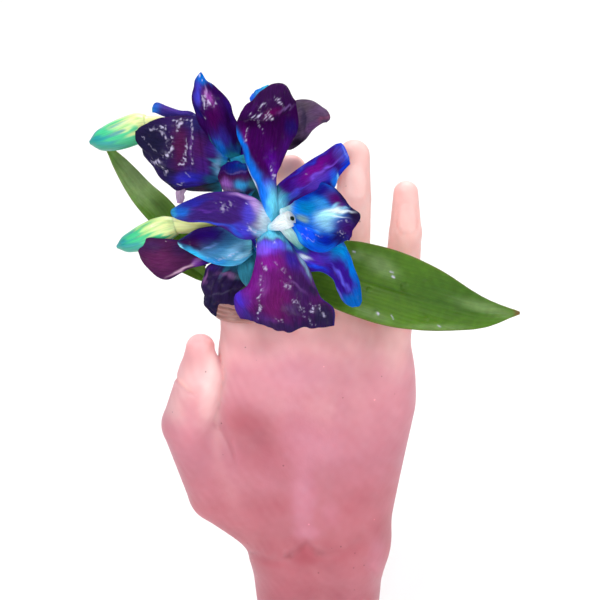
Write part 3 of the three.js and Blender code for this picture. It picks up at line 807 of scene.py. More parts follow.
# %% Skins of a sheet
def outwards(grid):
    return unit(np.cross(np.gradient(grid, axis=1), np.gradient(grid, axis=0)))


def spans(grid):
    """How far along and across the sheet each point lies, in millimetres."""
    rows, columns = grid.shape[:2]
    down = np.linalg.norm(np.diff(grid, axis=0), axis=2)
    over = np.linalg.norm(np.diff(grid, axis=1), axis=2)
    length = np.concatenate([np.zeros((1, columns)), np.cumsum(down, 0)])
    width = np.concatenate([np.zeros((rows, 1)), np.cumsum(over, 1)], 1)
    return length, width - width[:, -1:] / 2


def sheet_faces(rows, columns):
    count, faces = rows * columns, []
    for r in range(rows - 1):
        for c in range(columns - 1):
            a = r * columns + c
            quad = (a, a + columns, a + columns + 1, a + 1)
            faces += [quad, tuple(i + count for i in quad[::-1])]
    edge = [c for c in range(columns)] + [r * columns + columns - 1 for r in range(1, rows)]
    edge += [(rows - 1) * columns + c for c in range(columns - 2, -1, -1)]
    edge += [r * columns for r in range(rows - 2, 0, -1)]
    return faces + [(a, b, b + count, a + count) for a, b in zip(edge, edge[1:] + edge[:1])]


print("faces of the smallest sheet:", len(sheet_faces(2, 2)))

# %% [markdown]
# A living sheet is never flat. It is lifted by a fine crinkle, by a ruffle that grows towards its
# edges, by folds along drawn lines, and by its own relief of veins. A displace modifier could do some
# of it; here the same numbers also go to the paint, so that colour and folds agree.

# %% Blades
THINNEST = 0.4  # the share of its thickness that a blade keeps at the rim


def blade(stops, rows=72, columns=44, thick=0.55, crinkle=0.0, pitch=7, ruffle=0.0, waves=3, seed=1,
          paint=None, relief=None, folds=()):
    grid = flow(np.asarray(stops, float), rows)
    grid = flow(grid.transpose(1, 0, 2), columns).transpose(1, 0, 2)
    t = np.repeat(np.linspace(0, 1, rows)[:, None], columns, 1)
    s = np.repeat(np.linspace(-1, 1, columns)[None], rows, 0)
    (length, width), place = spans(grid), seen(grid)
    lift = crinkle * swell(length * 0.6, width * 1.6, pitch, seed) * step(0.04, 0.3, t)
    lift += ruffle * s * s * step(0.15, 0.9, t) * np.sin(2 * math.pi * waves * t + 2.2 * s + seed)
    for height, reach, *line in folds:
        lift += height * np.exp(-((to_line(place, line) / reach) ** 2))
    if relief:
        lift += relief(t, length, width)
    grid = grid + outwards(grid) * lift[..., None]
    rim = np.minimum(np.minimum(1 - np.abs(s), 1 - t) * 6, 1)
    half = outwards(grid) * (thick / 2 * (THINNEST + (1 - THINNEST) * np.sqrt(rim)))[..., None]
    points = np.concatenate([(grid + half).reshape(-1, 3), (grid - half).reshape(-1, 3)])
    tone, wet = paint(t, s, length, width, seed, place)
    fibre = np.stack([length, width, 0 * t], -1).reshape(-1, 3)
    return {"points": points, "faces": sheet_faces(rows, columns), "dye": tone.reshape(-1, 3),
            "wet": np.tile(wet.ravel(), 2), "grain": np.concatenate([fibre, fibre + np.array([40, 0, 9])])}


print("a blade is", 72 * 44 * 2, "points when nothing else is asked")

# %% [markdown]
# A leaf, and a petal that no one sees from the front, is laid out along a spine: half widths along
# it, the way it faces, and how far it bends across.

# %% Blades with a spine
def spined(points, halves, facing, roll, tip=14, across=5):
    rows = 4 * tip
    line = flow(np.array(points, float), rows)
    along = unit(np.gradient(line, axis=0))
    side = unit(np.cross(along, unit(np.array(facing, float))))
    out = np.cross(side, along)
    half = np.maximum(flow(np.array(halves, float)[:, None], rows), 0.05)
    bend = np.linspace(roll[0], roll[1], rows)[:, None]
    s = np.linspace(-1, 1, across)[None]
    flat = half / bend * np.sin(bend * s)
    rise = half / bend * (1 - np.cos(bend * s))
    return line[:, None] + flat[..., None] * side[:, None] + rise[..., None] * out[:, None]


print("stops on a spine:", spined([[0, 0, 0], [0, 0, 9]], [2, 1], [0, -1, 0], [0.5, 0.4]).shape)

# %% [markdown]
# ## Leaves
# The leaves are long and glossy, with fine parallel veins and a keel down the middle. One broad leaf
# lies to the right across the fingers, and two narrow ones point to the left. A leaf could be a plane
# that is bent by a lattice; a spine with widths says its outline more directly.

# %% Shapes of the leaves
LEAVES = {
    "leaf_right": dict(
        stalk=[[-20, -18, 169], [-13, -18, 172], [-7, -18.5, 178], [0, -19, 181]],
        points=[[-4, -19, 180], [13, -20.5, 175.8], [33, -21.5, 169.8], [56, -22, 163.4], [72, -22, 163]],
        halves=[8.8, 12.5, 13.8, 13.7, 11.6, 7.4, 3.9, 0.4], facing=[0.1, -1, 0.25], roll=[0.5, 0.25]),
    "leaf_left": dict(
        stalk=[[-31, -17, 168], [-36, -16.5, 168], [-41, -15, 173], [-45, -13.5, 180]],
        points=[[-43.5, -14, 177.5], [-57.2, -10, 196], [-67, -6.5, 206], [-78.6, -3, 221.5]],
        halves=[1.5, 4.7, 5.5, 5.3, 4.4, 3.1, 0.5], facing=[0.5, -1, -0.3], roll=[0.5, 0.4]),
    "leaf_lower": dict(
        stalk=[[-31, -20, 168], [-36, -20, 169], [-40, -19, 172], [-43, -18, 175.5]],
        points=[[-41, -18.5, 174.5], [-50, -17, 180], [-61, -16, 181]],
        halves=[1.2, 2.7, 3.2, 3, 2.2, 0.5], facing=[0.1, -1, 0.2], roll=[0.4, 0.3]),
}
print("leaves:", list(LEAVES))

# %% [markdown]
# A leaf is mid green with lighter veins and darker blotches. Its keel is dark, its edge is dry, its tip is
# brown, and a few pale dots are painted highlights of water drops. Light that a broad blade mirrors softly is
# painted too, as sheen patches, because a mirror-like skin would also show the lamps where they don't belong.

# %% Colours of a leaf
LEAF, LEAF_LIGHT, LEAF_DARK = colour(76, 116, 20), colour(128, 162, 72), colour(54, 92, 18)
BROWN, DRY = colour(112, 74, 44), colour(104, 104, 48)
SHEEN, PEARL = colour(126, 152, 98), colour(216, 208, 240)
VEIN_PITCH = 1.5
LEAF_MARKS = [
    (450, 296, 64, 28, 15, (50, 86, 20), 0.8), (382, 266, 18, 9, 30, SHEEN, 0.6),
    (486, 308, 30, 6, 15, SHEEN, 0.5), (372, 314, 20, 5, 22, SHEEN, 0.5), (357, 255, 8, 6, 0, SHEEN, 0.5),
    (435, 327, 30, 3, 0, SHEEN, 0.4), (136, 178, 34, 20, 45, (124, 146, 98), 0.75),
    (163, 205, 12, 8, 45, (66, 92, 34), 0.8), (190, 270, 16, 8, 0, (92, 124, 34), 0.6),
]
# Painted highlights of water drops on the leaves: short bright strokes in the frame.
LEAF_GLINTS = [
    (0.9, 0.9, (392.5, 276), (394, 277)), (0.6, 0.7, (390, 271), (393, 272)),
    (0.9, 0.9, (377, 313.5), (378, 314)), (0.4, 0.7, (391, 315), (393, 319)),
    (0.7, 0.7, (438, 326), (439.5, 327)), (0.6, 0.8, (353, 251), (355, 251.5)),
]


def leaf_paint(t, s, length, width, seed, place):
    vein = 0.5 + 0.5 * np.cos(width * 2 * math.pi / VEIN_PITCH)
    tone = mix(LEAF, LEAF_LIGHT, 0.1 * vein * (1 - np.abs(s)) ** 0.3)
    tone = mix(tone, LEAF_DARK, 0.35 * step(-0.2, 1.2, swell(length * 0.3, width * 0.6, 16, seed)))
    tone = mix(tone, LEAF_DARK, 0.5 * np.exp(-((width / 0.45) ** 2)))
    tone = patched(tone, place, LEAF_MARKS)
    tone = mix(tone, DRY, 0.6 * step(0.95, 1, np.abs(s)))
    for reach, strength, *line in LEAF_GLINTS:
        tone = mix(tone, PEARL, strength * np.exp(-((to_line(place, line) / reach) ** 2)))
    tone = mix(tone, BROWN, 0.9 * step(0.95, 0.995, t))
    return np.stack([tone, mix(tone, LEAF_LIGHT, 0.45 + 0 * t)]), 0 * t


print("patches on the leaves:", len(LEAF_MARKS), "bright dots:", len(LEAF_GLINTS))

# %% [markdown]
# The keel is a shallow groove, and the veins are low ridges. A few drops of water sit on the broad leaf: they
# are low domes of the same skin.

# %% Relief of a leaf
DROPS = [(0.42, -0.15, 1.5), (0.33, 0.75, 1.1), (0.55, 0.6, 0.9), (0.5, -0.5, 0.7), (0.27, 0.2, 0.8)]


def leaf_relief(drops):
    def relief(t, length, width):
        keel = -0.45 * np.exp(-((width / 0.7) ** 2)) * step(0, 0.1, t) * step(1, 0.85, t)
        veins = 0.035 * np.cos(width * 2 * math.pi / VEIN_PITCH)
        domes = 0
        for along, across, size in drops:
            far = np.hypot(length - along * length.max(), width - across * width.max(1, keepdims=True))
            domes = domes + 0.42 * size * np.sqrt(np.clip(1 - (far / size) ** 2, 0, 1))
        return keel + veins + domes
    return relief


print("drops of water:", len(DROPS))

# %% Skin of the leaves
leaf_skin = finish("leaf_green", Roughness=0.5, Specular_IOR_Level=0.16, Subsurface_Weight=0.12,
                   Subsurface_Scale=0.0015, Coat_Weight=0.08, Coat_Roughness=0.2)
tone = fibrous(leaf_skin, 0.05, 1.6, 1.6, 5, 0.92, 1.08, 0.3, 0.0002)
mottle = noise(leaf_skin, attribute(leaf_skin, "grain").outputs["Vector"], 0.35, 4)
feed(leaf_skin, "Base Color", shade(leaf_skin, tone, band_of(leaf_skin, mottle, 0.35, 0.7, 0.9, 1.1)))
feed(leaf_skin, "Roughness", band_of(leaf_skin, mottle, 0.3, 0.7, 0.36, 0.55))

for number, (name, shape) in enumerate(LEAVES.items()):
    stops = spined(shape["points"], shape["halves"], shape["facing"], shape["roll"])
    big = name == "leaf_right"
    sheet = blade(stops, 200 if big else 110, 76 if big else 40, 0.8, 0.25, 16, 0.35, 2, 11 + number,
                  paint=leaf_paint, relief=leaf_relief(DROPS if big else []))
    stalk = bar(shape["stalk"], [1, 1, 1], GREEN)
    stalk["finish"] = 1
    make(name + "_blade", [sheet, stalk], [leaf_skin, stem_skin], name)

# %% [markdown]
# ## Buds
# A closed bud is an egg with a pointed beak. It could start from a sphere that is pulled long, but
# rings round a bent line keep it fair. Three thin sepals wrap it, so three seams run from stalk to
# tip. The dye has reached it only in part: cream and lime above, teal below and at the beak.

# %% Shapes and colours of the buds
BUDS = {
    "bud_upper": dict(
        body=[[-61, -14.5, 230.5], [-66, -14, 228.5], [-75, -14, 225.5], [-81.8, -14, 223.9]],
        pedicel=[[-62, -14.5, 230.5], [-55, -14, 230.5], [-49, -14, 225], [-46, -14, 221]], fullness=5.4),
    "bud_lower": dict(
        body=[[-51.5, -24.5, 196.5], [-58, -24.5, 194.6], [-66, -24, 191], [-72.9, -23, 188.4]],
        pedicel=[[-53, -24.5, 196.6], [-43, -26, 196.8], [-36, -24, 198.5], [-33.5, -16.5, 199]],
        fullness=4.7),
}
BUD_PROFILE = [0.68, 0.92, 1, 1, 0.94, 0.8, 0.6, 0.12]
BUD_ROWS, BUD_SIDES, SEPALS, SEAM = 90, 72, 3, 0.09
CREAM, TEAL, MINT = colour(225, 228, 160), colour(20, 150, 115), colour(50, 196, 140)
SPRING, SEA = colour(165, 222, 134), colour(24, 146, 156)


def bud_part(body, fullness, seed):
    rings = ring_line(body, [share * fullness for share in BUD_PROFILE], BUD_SIDES, BUD_ROWS)
    middle = rings.mean(1, keepdims=True)
    out = rings - middle
    turn = np.linspace(0, 2 * math.pi, BUD_SIDES, endpoint=False)[None]
    t = np.linspace(0, 1, BUD_ROWS)[:, None]
    seam = np.exp(-(((turn * SEPALS / (2 * math.pi) + 0.3 * t) % 1 - 0.5) / 0.06) ** 2)
    rings = middle + out * (1 - SEAM * seam * step(0, 0.15, t) * step(1, 0.8, t))[..., None]
    up = unit(out)[..., 2]
    streaks = 0.14 * swell(t * 6 + 0 * turn, turn * 9 + 0 * t, 3, seed)
    tone = mix(np.zeros(rings.shape) + SPRING, CREAM, 0.8 * step(0.6, 0.1, t + streaks))
    tone = mix(tone, MINT, 0.95 * step(0.22, 0.5, t - 0.3 * up + 1.5 * streaks))
    tone = mix(tone, SEA, 0.9 * step(0.5, 0.8, t - 0.1 * up - 1.5 * streaks))
    tone = mix(tone, TEAL, 0.7 * step(0.0, 0.7, t - 0.9 * up - 0.55 + 0.8 * streaks))
    grain = np.stack([t * 22 + 0 * turn, turn * fullness * 0.8 + 0 * t, 0 * (t + turn)], -1)
    return tube(rings, tone, grain)


print("buds:", list(BUDS), "each wrapped by", SEPALS, "sepals")

# %% Skin of the buds
bud_skin = finish("bud_skin", Roughness=0.38, Subsurface_Weight=0.3, Subsurface_Scale=0.003, Coat_Weight=0.2)
feed(bud_skin, "Base Color", fibrous(bud_skin, 0.1, 1.4, 1.5, 4, 0.86, 1.1, 0.3, 0.0002))
for number, (name, shape) in enumerate(BUDS.items()):
    egg = bud_part(shape["body"], shape["fullness"], 31 + number)
    stalk = bar(shape["pedicel"], [2.9, 2, 1.1, 0.9], [CREAM, PALE_GREEN, PALE_GREEN])
    make(name + "_closed", [egg, stalk], [bud_skin], name)

# %% [markdown]
# ## Dyed petals
# The blooms are white orchids that drank blue and violet dye. It gathers in the body of each petal,
# runs thin along the veins, and leaves the throat almost white and many rims bright blue. A texture
# could be painted, but colours stored on the points need no unwrapping and follow every fold.

# %% Dyes
WHITE, ICE = colour(232, 246, 250), colour(160, 222, 246)
CYAN, SKY = colour(62, 176, 216), colour(8, 120, 216)
ROYAL, VIOLET = colour(14, 70, 210), colour(80, 32, 165)
PURPLE, GRAPE = colour(72, 12, 118), colour(66, 8, 84)
PLUM, INK = colour(52, 14, 70), colour(32, 22, 44)
MAUVE, ROSE, SMOKE = colour(125, 95, 150), colour(208, 168, 226), colour(108, 88, 116)
NAVY, INDIGO, IRIS = colour(16, 28, 125), colour(52, 42, 150), colour(90, 78, 215)
AZURE, AQUA, LAKE = colour(40, 135, 248), colour(130, 228, 250), colour(45, 140, 158)
print("ink is", INK.round(4))

# %% [markdown]
# Wet, wrinkled skin breaks a lamp's light into short, wandering glints. Real ones need a finer mesh
# than this, so they are painted: lines in the frame that swing, change their width and fade in places.

# %% Glints
def glinting(tone, place, glints, length, width, seed):
    fading = swell(length, width, 1.3, seed + 9) + 0.7 * swell(length, width, 4, seed + 12)
    wander = np.stack([swell(length, width, 1.8, seed + k) for k in (21, 22)], -1)
    spread = np.maximum(0.8 + 0.35 * swell(length, width, 0.9, seed + 23), 0.25)
    for reach, strength, *line in glints:
        far = to_line(place + 0.75 * wander, line)
        near = np.exp(-((far / (reach * spread)) ** 2))
        tone = mix(tone, PEARL, 0.85 * strength * near * step(-0.5, 0.6, fading))
    return tone


print("glints have the colour", PEARL.round(2))

# %% [markdown]
# The paint of a petal starts pale at the root, darkens to a body colour, and turns to rim and tip
# colours at the edges. Then come soft marks, wobbled so that none has a clean outline, and last the
# glints. Where the petal is wet is kept as a fourth number beside the colour.

# %% The paint of a petal
DEPTH = 1.2  # how fast the dye darkens where there is more of it


def dyed(root, body, tip, rim, marks=(), wet=(), glints=(), reach=0.3, rim_width=0.12,
         rim_strength=0.7, back=0.15):
    def paint(t, s, length, width, seed, place):
        streak = swell(length * 0.22, width * 1.7, 3.6, seed + 7)
        u = np.clip(t + 0.04 * streak, 0, 1)
        tone = mix(np.zeros(t.shape + (3,)) + root, body, step(0.02, reach, u))
        tone = mix(tone, tip, step(0.78, 1, u))
        edge = step(1 - rim_width * (1 + 0.5 * swell(length, 0 * width, 9, seed + 5)), 1, np.abs(s))
        tone = mix(tone, rim, edge * rim_strength)
        nudge = np.stack([swell(length, width, 5, seed + k) + 0.6 * streak for k in (3, 5)], -1)
        tone = np.maximum(patched(tone, place + 0.8 * nudge, marks), 0) ** DEPTH
        tone = glinting(tone, place + 0.7 * nudge, glints, length, width, seed)
        water = np.zeros(t.shape)
        for *shape, amount in wet:
            water = np.maximum(water, amount * soft_spot(place + 1.5 * nudge, *shape))
        return np.stack([tone, mix(tone, VIOLET * 0.6 + ICE * 0.1, back + 0 * t)]), water
    return paint


print("a dye of 0.5 gets", round(0.5**DEPTH, 3), "deep")

# %% [markdown]
# The skin of a petal is satin, with veins and tiny crystal cells, under a broken film of water. The
# base of the shader is nearly free of gloss, so the dye stays deep. All the gloss is in the coat, and
# a noise with the wet places breaks it into pools.

# %% Skin of the petals
SATIN = 0.012  # hardly any gloss of its own
WET_FILM = 0.13  # how much a wet place adds to the pools


def petal_finish(name, gloss, wetness):
    made = finish(name, Roughness=gloss, Specular_IOR_Level=SATIN, Subsurface_Weight=0.05,
                  Subsurface_Scale=0.001, Coat_Weight=wetness, Coat_Roughness=0.04, Coat_IOR=1.45)
    grain, dye = attribute(made, "grain").outputs["Vector"], attribute(made, "dye")
    fibres = fibres_of(made, grain, 0.22, 1.5)
    veins = noise(made, fibres, 1.3, 5, Roughness=0.6)
    cells = add(made, "TexVoronoi", Vector=grain, Scale=4.5).outputs["Distance"]
    pools = noise(made, grain, 0.45, 5, Roughness=0.65)
    tone = shade(made, dye.outputs["Color"], band_of(made, veins, 0.3, 0.7, 0.8, 1.16))
    feed(made, "Base Color", shade(made, tone, band_of(made, cells, 0, 0.7, 1.08, 0.92)))
    feed(made, "Roughness", band_of(made, pools, 0.4, 0.6, gloss + 0.1, gloss - 0.08))
    film = math_of(made, "MULTIPLY_ADD", dye.outputs["Alpha"], WET_FILM, pools)
    feed(made, "Coat Weight", band_of(made, film, 0.58, 0.68, wetness * 0.02, wetness))
    height = math_of(made, "MULTIPLY_ADD", noise(made, fibres, 0.5, 3), 2.2, veins)
    roughen(made, math_of(made, "MULTIPLY_ADD", cells, 0.25, height), 0.35, 0.0004)
    roughen(made, noise(made, grain, 0.36, 2, Roughness=0.4), 1.0, 0.001, "Coat Normal")
    return made


petal_skin = petal_finish("petal_purple", 0.5, 0.5)
lip_skin = petal_finish("lip_blue", 0.48, 0.45)
column_skin = petal_finish("column_white", 0.5, 0.3)
print("finishes:", petal_skin.name, lip_skin.name, column_skin.name)

# %% [markdown]
# ## Petals from spots
# A petal is a few rows of spots, root first, and each row runs from one edge to the other. A spot says
# both where the petal shows and how deep it lies, which is hard to see when modelling by hand. Its
# look says how it crinkles and folds, and its paint is made by dyed().

# %% One petal
def petal(stops, **look):
    grid = np.array([[spot(*place) for place in row] for row in stops])
    long = np.linalg.norm(np.diff(grid.mean(1), axis=0), axis=1).sum()
    wide = np.linalg.norm(grid[:, 0] - grid[:, -1], axis=1).max()
    print(f"{long:.0f} mm long, {wide:.0f} mm wide")
    return blade(grid, **look)


LIME, STONE = colour(165, 215, 110), colour(182, 182, 170)
print("the throat is at", [round(v, 1) for v in spot(280, 224, -36)], "mm")

# %% [markdown]
# ## The front bloom
# It faces us: three narrow sepals, one broad petal that folds over at the top, a broad ruffled one
# that hangs down, and a scooped lip beside the white column. Each could be sculpted from a plane.
# Drawn as rows of spots, it keeps its outline and still bends in depth. The left sepal is violet
# with a bright blue tip and a pale, wet root.

# %% Front bloom: left sepal
front_left_sepal = petal([
    [(274, 219, -36), (273, 224, -36.5), (274, 229, -36)],
    [(265, 207, -38.5), (262, 222, -40.5), (262, 236, -38.5)],
    [(256, 198.5, -40.5), (253, 219, -43), (252, 239, -40.5)],
    [(243, 193.5, -41), (240, 214, -44), (238, 237.5, -41)],
    [(226, 191.5, -40.5), (224, 210, -43.5), (223, 228, -41)],
    [(207, 193.5, -39), (206, 208.5, -42.5), (206, 222.5, -41)],
    [(190, 199.5, -37), (189, 211, -39.5), (189, 222, -38.5)],
    [(178, 206, -35), (177, 212, -36.5), (177, 219.5, -36)],
    [(172, 209.5, -34), (171.5, 212, -34), (172, 215.5, -34.5)],
], crinkle=0.3, pitch=8, seed=3, thick=0.7, rows=110, columns=70, folds=[
    (0.3, 2, (214, 200), (224, 205), (234, 211)), (0.25, 1.5, (219, 208), (232, 206)),
], paint=dyed(WHITE, PURPLE, SKY, INDIGO, reach=0.2, rim_width=0.06, marks=[
    (222, 213, 30, 11, 0, (66, 0, 108), 0.95), (204, 212, 20, 9, 0, (66, 8, 118), 0.85),
    (182, 211, 10, 7, -5, SKY, 1), (174, 212, 3, 5, 0, CYAN, 0.8), (200, 201, 14, 4, -14, INDIGO, 0.7),
    (203, 210, 17, 1.2, 0, (110, 56, 165), 0.45), (248, 215, 14, 7, 100, (88, 78, 208), 0.9),
    (244, 231, 10, 5, 25, (70, 66, 215), 0.9), (192, 203, 12, 4, -16, (38, 40, 170), 0.8),
    (216, 223.5, 22, 1.8, 6, (64, 92, 208), 0.9), (236, 231, 9, 2.6, 42, (44, 100, 222), 0.85),
    (256, 206, 8, 5, 60, ROSE, 0.85), (245, 196.5, 15, 2.2, 12, ROSE, 0.75), (266, 221, 18, 10, 90, WHITE, 1),
    (259, 233, 9, 4, 30, ICE, 0.8),
], wet=[
    (225, 206, 12, 5, 20, 0.5), (247, 230, 13, 6, 20, 0.8), (252, 208, 8, 8, 0, 0.6),
], glints=[
    (1.6, 0.55, (216, 203), (220, 201), (224, 205)),
    (1.5, 0.6, (222, 209), (228, 208), (233, 206), (229, 203)),
    (1, 0.9, (243, 229), (246, 231), (249, 229), (255, 231)), (1.2, 0.9, (255, 232), (260, 234), (263, 238)),
    (0.8, 0.6, (246, 218), (248, 222), (251, 228)), (0.9, 0.6, (246, 203), (250, 206)),
]))

# %% [markdown]
# The top petal is dark plum and folds over forwards, so its last rows come back down in front of the others.
# Its left edge is bright blue, edged by a thin painted highlight, and the wet fold breaks the light. The flap
# is painted darker, partly for its own back and partly as painted shade.

# %% Front bloom: top petal
front_top_petal = petal([
    [(268, 223, -36), (270, 223, -36.5), (272, 223, -37), (274, 223, -36.5), (276, 223, -36)],
    [(264.5, 213, -38), (267, 211, -39.5), (271, 210, -40), (275, 210, -39.5), (278.5, 211, -38)],
    [(260.5, 198, -40), (264, 196, -41.5), (269, 195, -42), (273, 195, -41.5), (277.5, 196, -40)],
    [(254, 181, -41), (259, 179, -42.5), (266, 178, -43), (271, 177, -42.5), (276, 176, -40.5)],
    [(246, 163, -41.5), (255, 162, -42.5), (265, 161, -43), (273, 161, -42), (282, 162, -40)],
    [(242, 148, -41), (252, 146, -42), (265, 145, -42.5), (277, 146, -41), (289, 147, -38.5)],
    [(237, 134, -40.5), (250, 130, -41), (266, 127, -41), (282, 129, -40), (297, 133, -37)],
    [(237, 121, -40), (251, 111, -40), (268, 105, -39.5), (284, 106, -38.5), (298, 118, -36.5)],
    [(244, 110, -40.5), (255, 97, -40), (270, 86, -39.5), (284, 85.5, -38.5), (295.5, 102, -38)],
    [(240, 115, -42.5), (253, 108, -43), (269, 100, -43.5), (284, 99, -42.5), (293, 105.5, -40.5)],
    [(238.5, 120, -43), (250, 119, -44.5), (264, 121.5, -45.5), (276, 119, -45), (289, 109, -42.5)],
], crinkle=0.35, pitch=8, seed=8, rows=140, columns=80, folds=[
    (0.45, 2.4, (239, 119), (250, 117), (266, 120), (271, 123)),
    (-0.45, 2, (271, 122), (272, 136), (275, 150)), (0.35, 1.5, (262, 150), (268, 162), (274, 176)),
    (0.4, 1.6, (259, 105), (263, 112), (269, 119)), (0.3, 1.5, (279, 88), (283, 97), (285, 104)),
    (0.3, 2, (247, 130), (251, 145), (258, 160)),
], paint=dyed(AQUA, GRAPE, PLUM, PLUM, reach=0.22, rim_width=0.05, back=0.0, marks=[
    (262, 145, 30, 12, 85, (74, 8, 94), 0.8), (273, 168, 18, 6, 78, (102, 20, 160), 0.85),
    (268, 186, 8, 7, 70, (80, 62, 220), 0.85), (246, 138, 10, 3.5, 75, (112, 14, 122), 0.8),
    (284, 148, 17, 5, 115, (84, 26, 124), 0.85), (291, 127, 10, 6, 90, (46, 26, 112), 0.9),
    (270, 204, 18, 8, 90, AQUA, 1), (264, 196, 17, 5, 80, AZURE, 1),
    (257, 177, 16, 5, 62, SKY * 0.7 + AZURE * 0.3, 1), (248, 158, 14, 3.4, 72, SKY, 1),
    # (252, 178) is a thin painted highlight along the left edge.
    (241, 139, 13, 3, 62, SKY, 1), (252, 178, 17, 1.2, 66, WHITE, 0.8),
    # (272, 96) and (250, 110) darken the flap: its own back, and painted shade on it.
    (272, 96, 24, 15, -10, (66, 30, 84), 0.95), (250, 110, 12, 5, -45, (74, 24, 96), 0.9),
    (272, 113, 10, 4, -25, (104, 6, 92), 0.85), (286, 108.5, 8, 1.5, -25, MAUVE, 0.9),
], wet=[
    (262, 112, 12, 9, 0, 1), (256, 119, 18, 4, 0, 1), (283, 94, 7, 7, 0, 0.8), (271, 166, 16, 6, 75, 0.8),
], glints=[
    (1.6, 0.9, (250, 116), (256, 117), (260, 115), (266, 118)),
    (1.3, 0.8, (267, 112), (271, 118), (273, 123)), (1, 0.8, (273, 97), (279, 101), (283, 107)),
    (1.2, 0.6, (260, 107), (266, 104)), (1, 0.5, (258, 122), (262, 132)),
    (1, 0.7, (270, 165), (273, 172), (274, 180)), (1, 0.5, (247, 128), (246, 140)),
]))

# %% [markdown]
# The right sepal reaches up to the right, with a ridge along its middle and a teal root.

# %% Front bloom: right sepal
front_right_sepal = petal([
    [(270, 219, -35.5), (273, 222, -36), (277, 225, -35.5)],
    [(272, 203, -37), (278, 207, -38.5), (287, 213, -37.5)],
    [(276, 187, -39.5), (284, 195, -41), (293, 203, -39.5)],
    [(291, 174, -41), (299, 184, -43.5), (307, 194, -40.5)],
    [(309, 161.5, -40.5), (315, 174, -43.5), (322, 189, -40)],
    [(324, 152.5, -39.5), (330, 167, -42.5), (333, 189, -39.5)],
    [(335, 144.5, -38.5), (339.5, 157, -41), (338.5, 177, -39.5)],
    [(341, 143.3, -38), (347, 152, -39.5), (350.5, 164, -39)],
], crinkle=0.22, pitch=7, seed=12, thick=0.7, rows=110, columns=70, folds=[
    (0.5, 2, (300, 186), (318, 174), (334, 162), (346, 158)),
], paint=dyed(LAKE, PURPLE, ROYAL, INDIGO, reach=0.2, rim_width=0.06, marks=[
    (276, 189, 6, 5, 45, (0, 80, 100), 1), (287, 197, 10, 4, -20, (12, 118, 138), 0.95),
    (279, 208, 15, 8, 90, (130, 214, 236), 0.95), (298, 190, 12, 3, -38, IRIS, 0.8),
    (301, 178, 17, 4, -42, INDIGO, 0.8), (314, 170, 22, 5, -38, (122, 14, 140), 0.9),
    (308, 165, 26, 1.8, -35, (44, 66, 196), 0.7), (296, 192, 10, 4, -35, (84, 84, 200), 0.7),
    (322, 171, 26, 1.2, -36, (135, 95, 215), 0.7), (347, 156, 8, 4, 60, (36, 82, 205), 1),
    (345, 153, 7, 1.4, 60, (130, 150, 235), 0.7), (327, 179, 14, 5, -35, (12, 55, 190), 0.9),
    (335, 180, 9, 4, 80, AZURE * 0.6 + SKY * 0.4, 0.95), (338, 181, 8, 1.5, 80, ICE, 0.9),
    (318, 155, 22, 1.6, -33, INDIGO, 0.7), (317, 180, 16, 6, -38, (112, 78, 200), 0.8),
    (340, 155, 8, 5, 60, (102, 94, 184), 0.6),
], wet=[
    (318, 168, 14, 5, -36, 0.7),
]))

# %% [markdown]
# The lower sepal bends over and hangs down to the right, violet inside a bright blue border.

# %% Front bloom: lower sepal
front_lower_sepal = petal([
    [(277, 221, -35.5), (273, 225, -36), (271, 229, -35.5)],
    [(291, 228, -38), (286, 236, -39.5), (280, 243, -38)],
    [(310, 238, -40), (302, 249, -42), (295, 257, -40)],
    [(328, 240, -41), (317, 256, -43), (307, 270, -40)],
    [(342, 241, -40.5), (334, 257, -42.5), (321, 272, -39.5)],
    [(348, 252, -39), (342, 267, -41.5), (333, 279, -39)],
    [(354.5, 268, -37), (347, 281, -39.5), (337, 290, -38)],
    [(360, 286, -35), (353, 294, -37), (343, 301, -36.5)],
    [(362, 301, -33.5), (359, 306, -34), (352, 307, -34.5)],
], crinkle=0.22, pitch=7, seed=17, thick=0.7, rows=110, columns=70, folds=[
    (0.5, 2, (322, 254), (336, 270), (347, 290)), (0.3, 1.5, (300, 256), (316, 266)),
], paint=dyed(LAKE, colour(66, 30, 150), SKY, SKY, reach=0.3, rim_width=0.05, marks=[
    (303, 259, 9, 8, 40, (92, 78, 200), 0.85), (317, 259, 11, 6, 30, (98, 52, 182), 0.8),
    (305, 257, 6, 1.5, 15, WHITE, 0.85), (316, 266, 13, 2.5, 20, (35, 80, 225), 0.9),
    (325, 254, 7, 7, 0, (84, 76, 195), 0.6), (341, 249, 10, 5, 60, (0, 165, 225), 1),
    (350, 266, 19, 4, 68, (0, 130, 225), 1), (359, 290, 15, 3.6, 82, (0, 108, 195), 1),
    (341, 277, 15, 1.5, 58, (112, 112, 228), 0.75), (353, 300, 10, 8, 0, (6, 108, 186), 1),
    (338, 291, 12, 1.2, 60, (130, 140, 235), 0.6), (300, 246, 9, 4, 50, LAKE, 0.9),
    (335, 248, 10, 8, 50, (8, 146, 214), 0.95),
], wet=[
    (304, 258, 8, 5, 20, 1),
]))

# %% [markdown]
# The bottom petal is the widest. It bulges under the throat and ends in a ruffled edge, with a long
# fold down its left side and short ones between its waves.

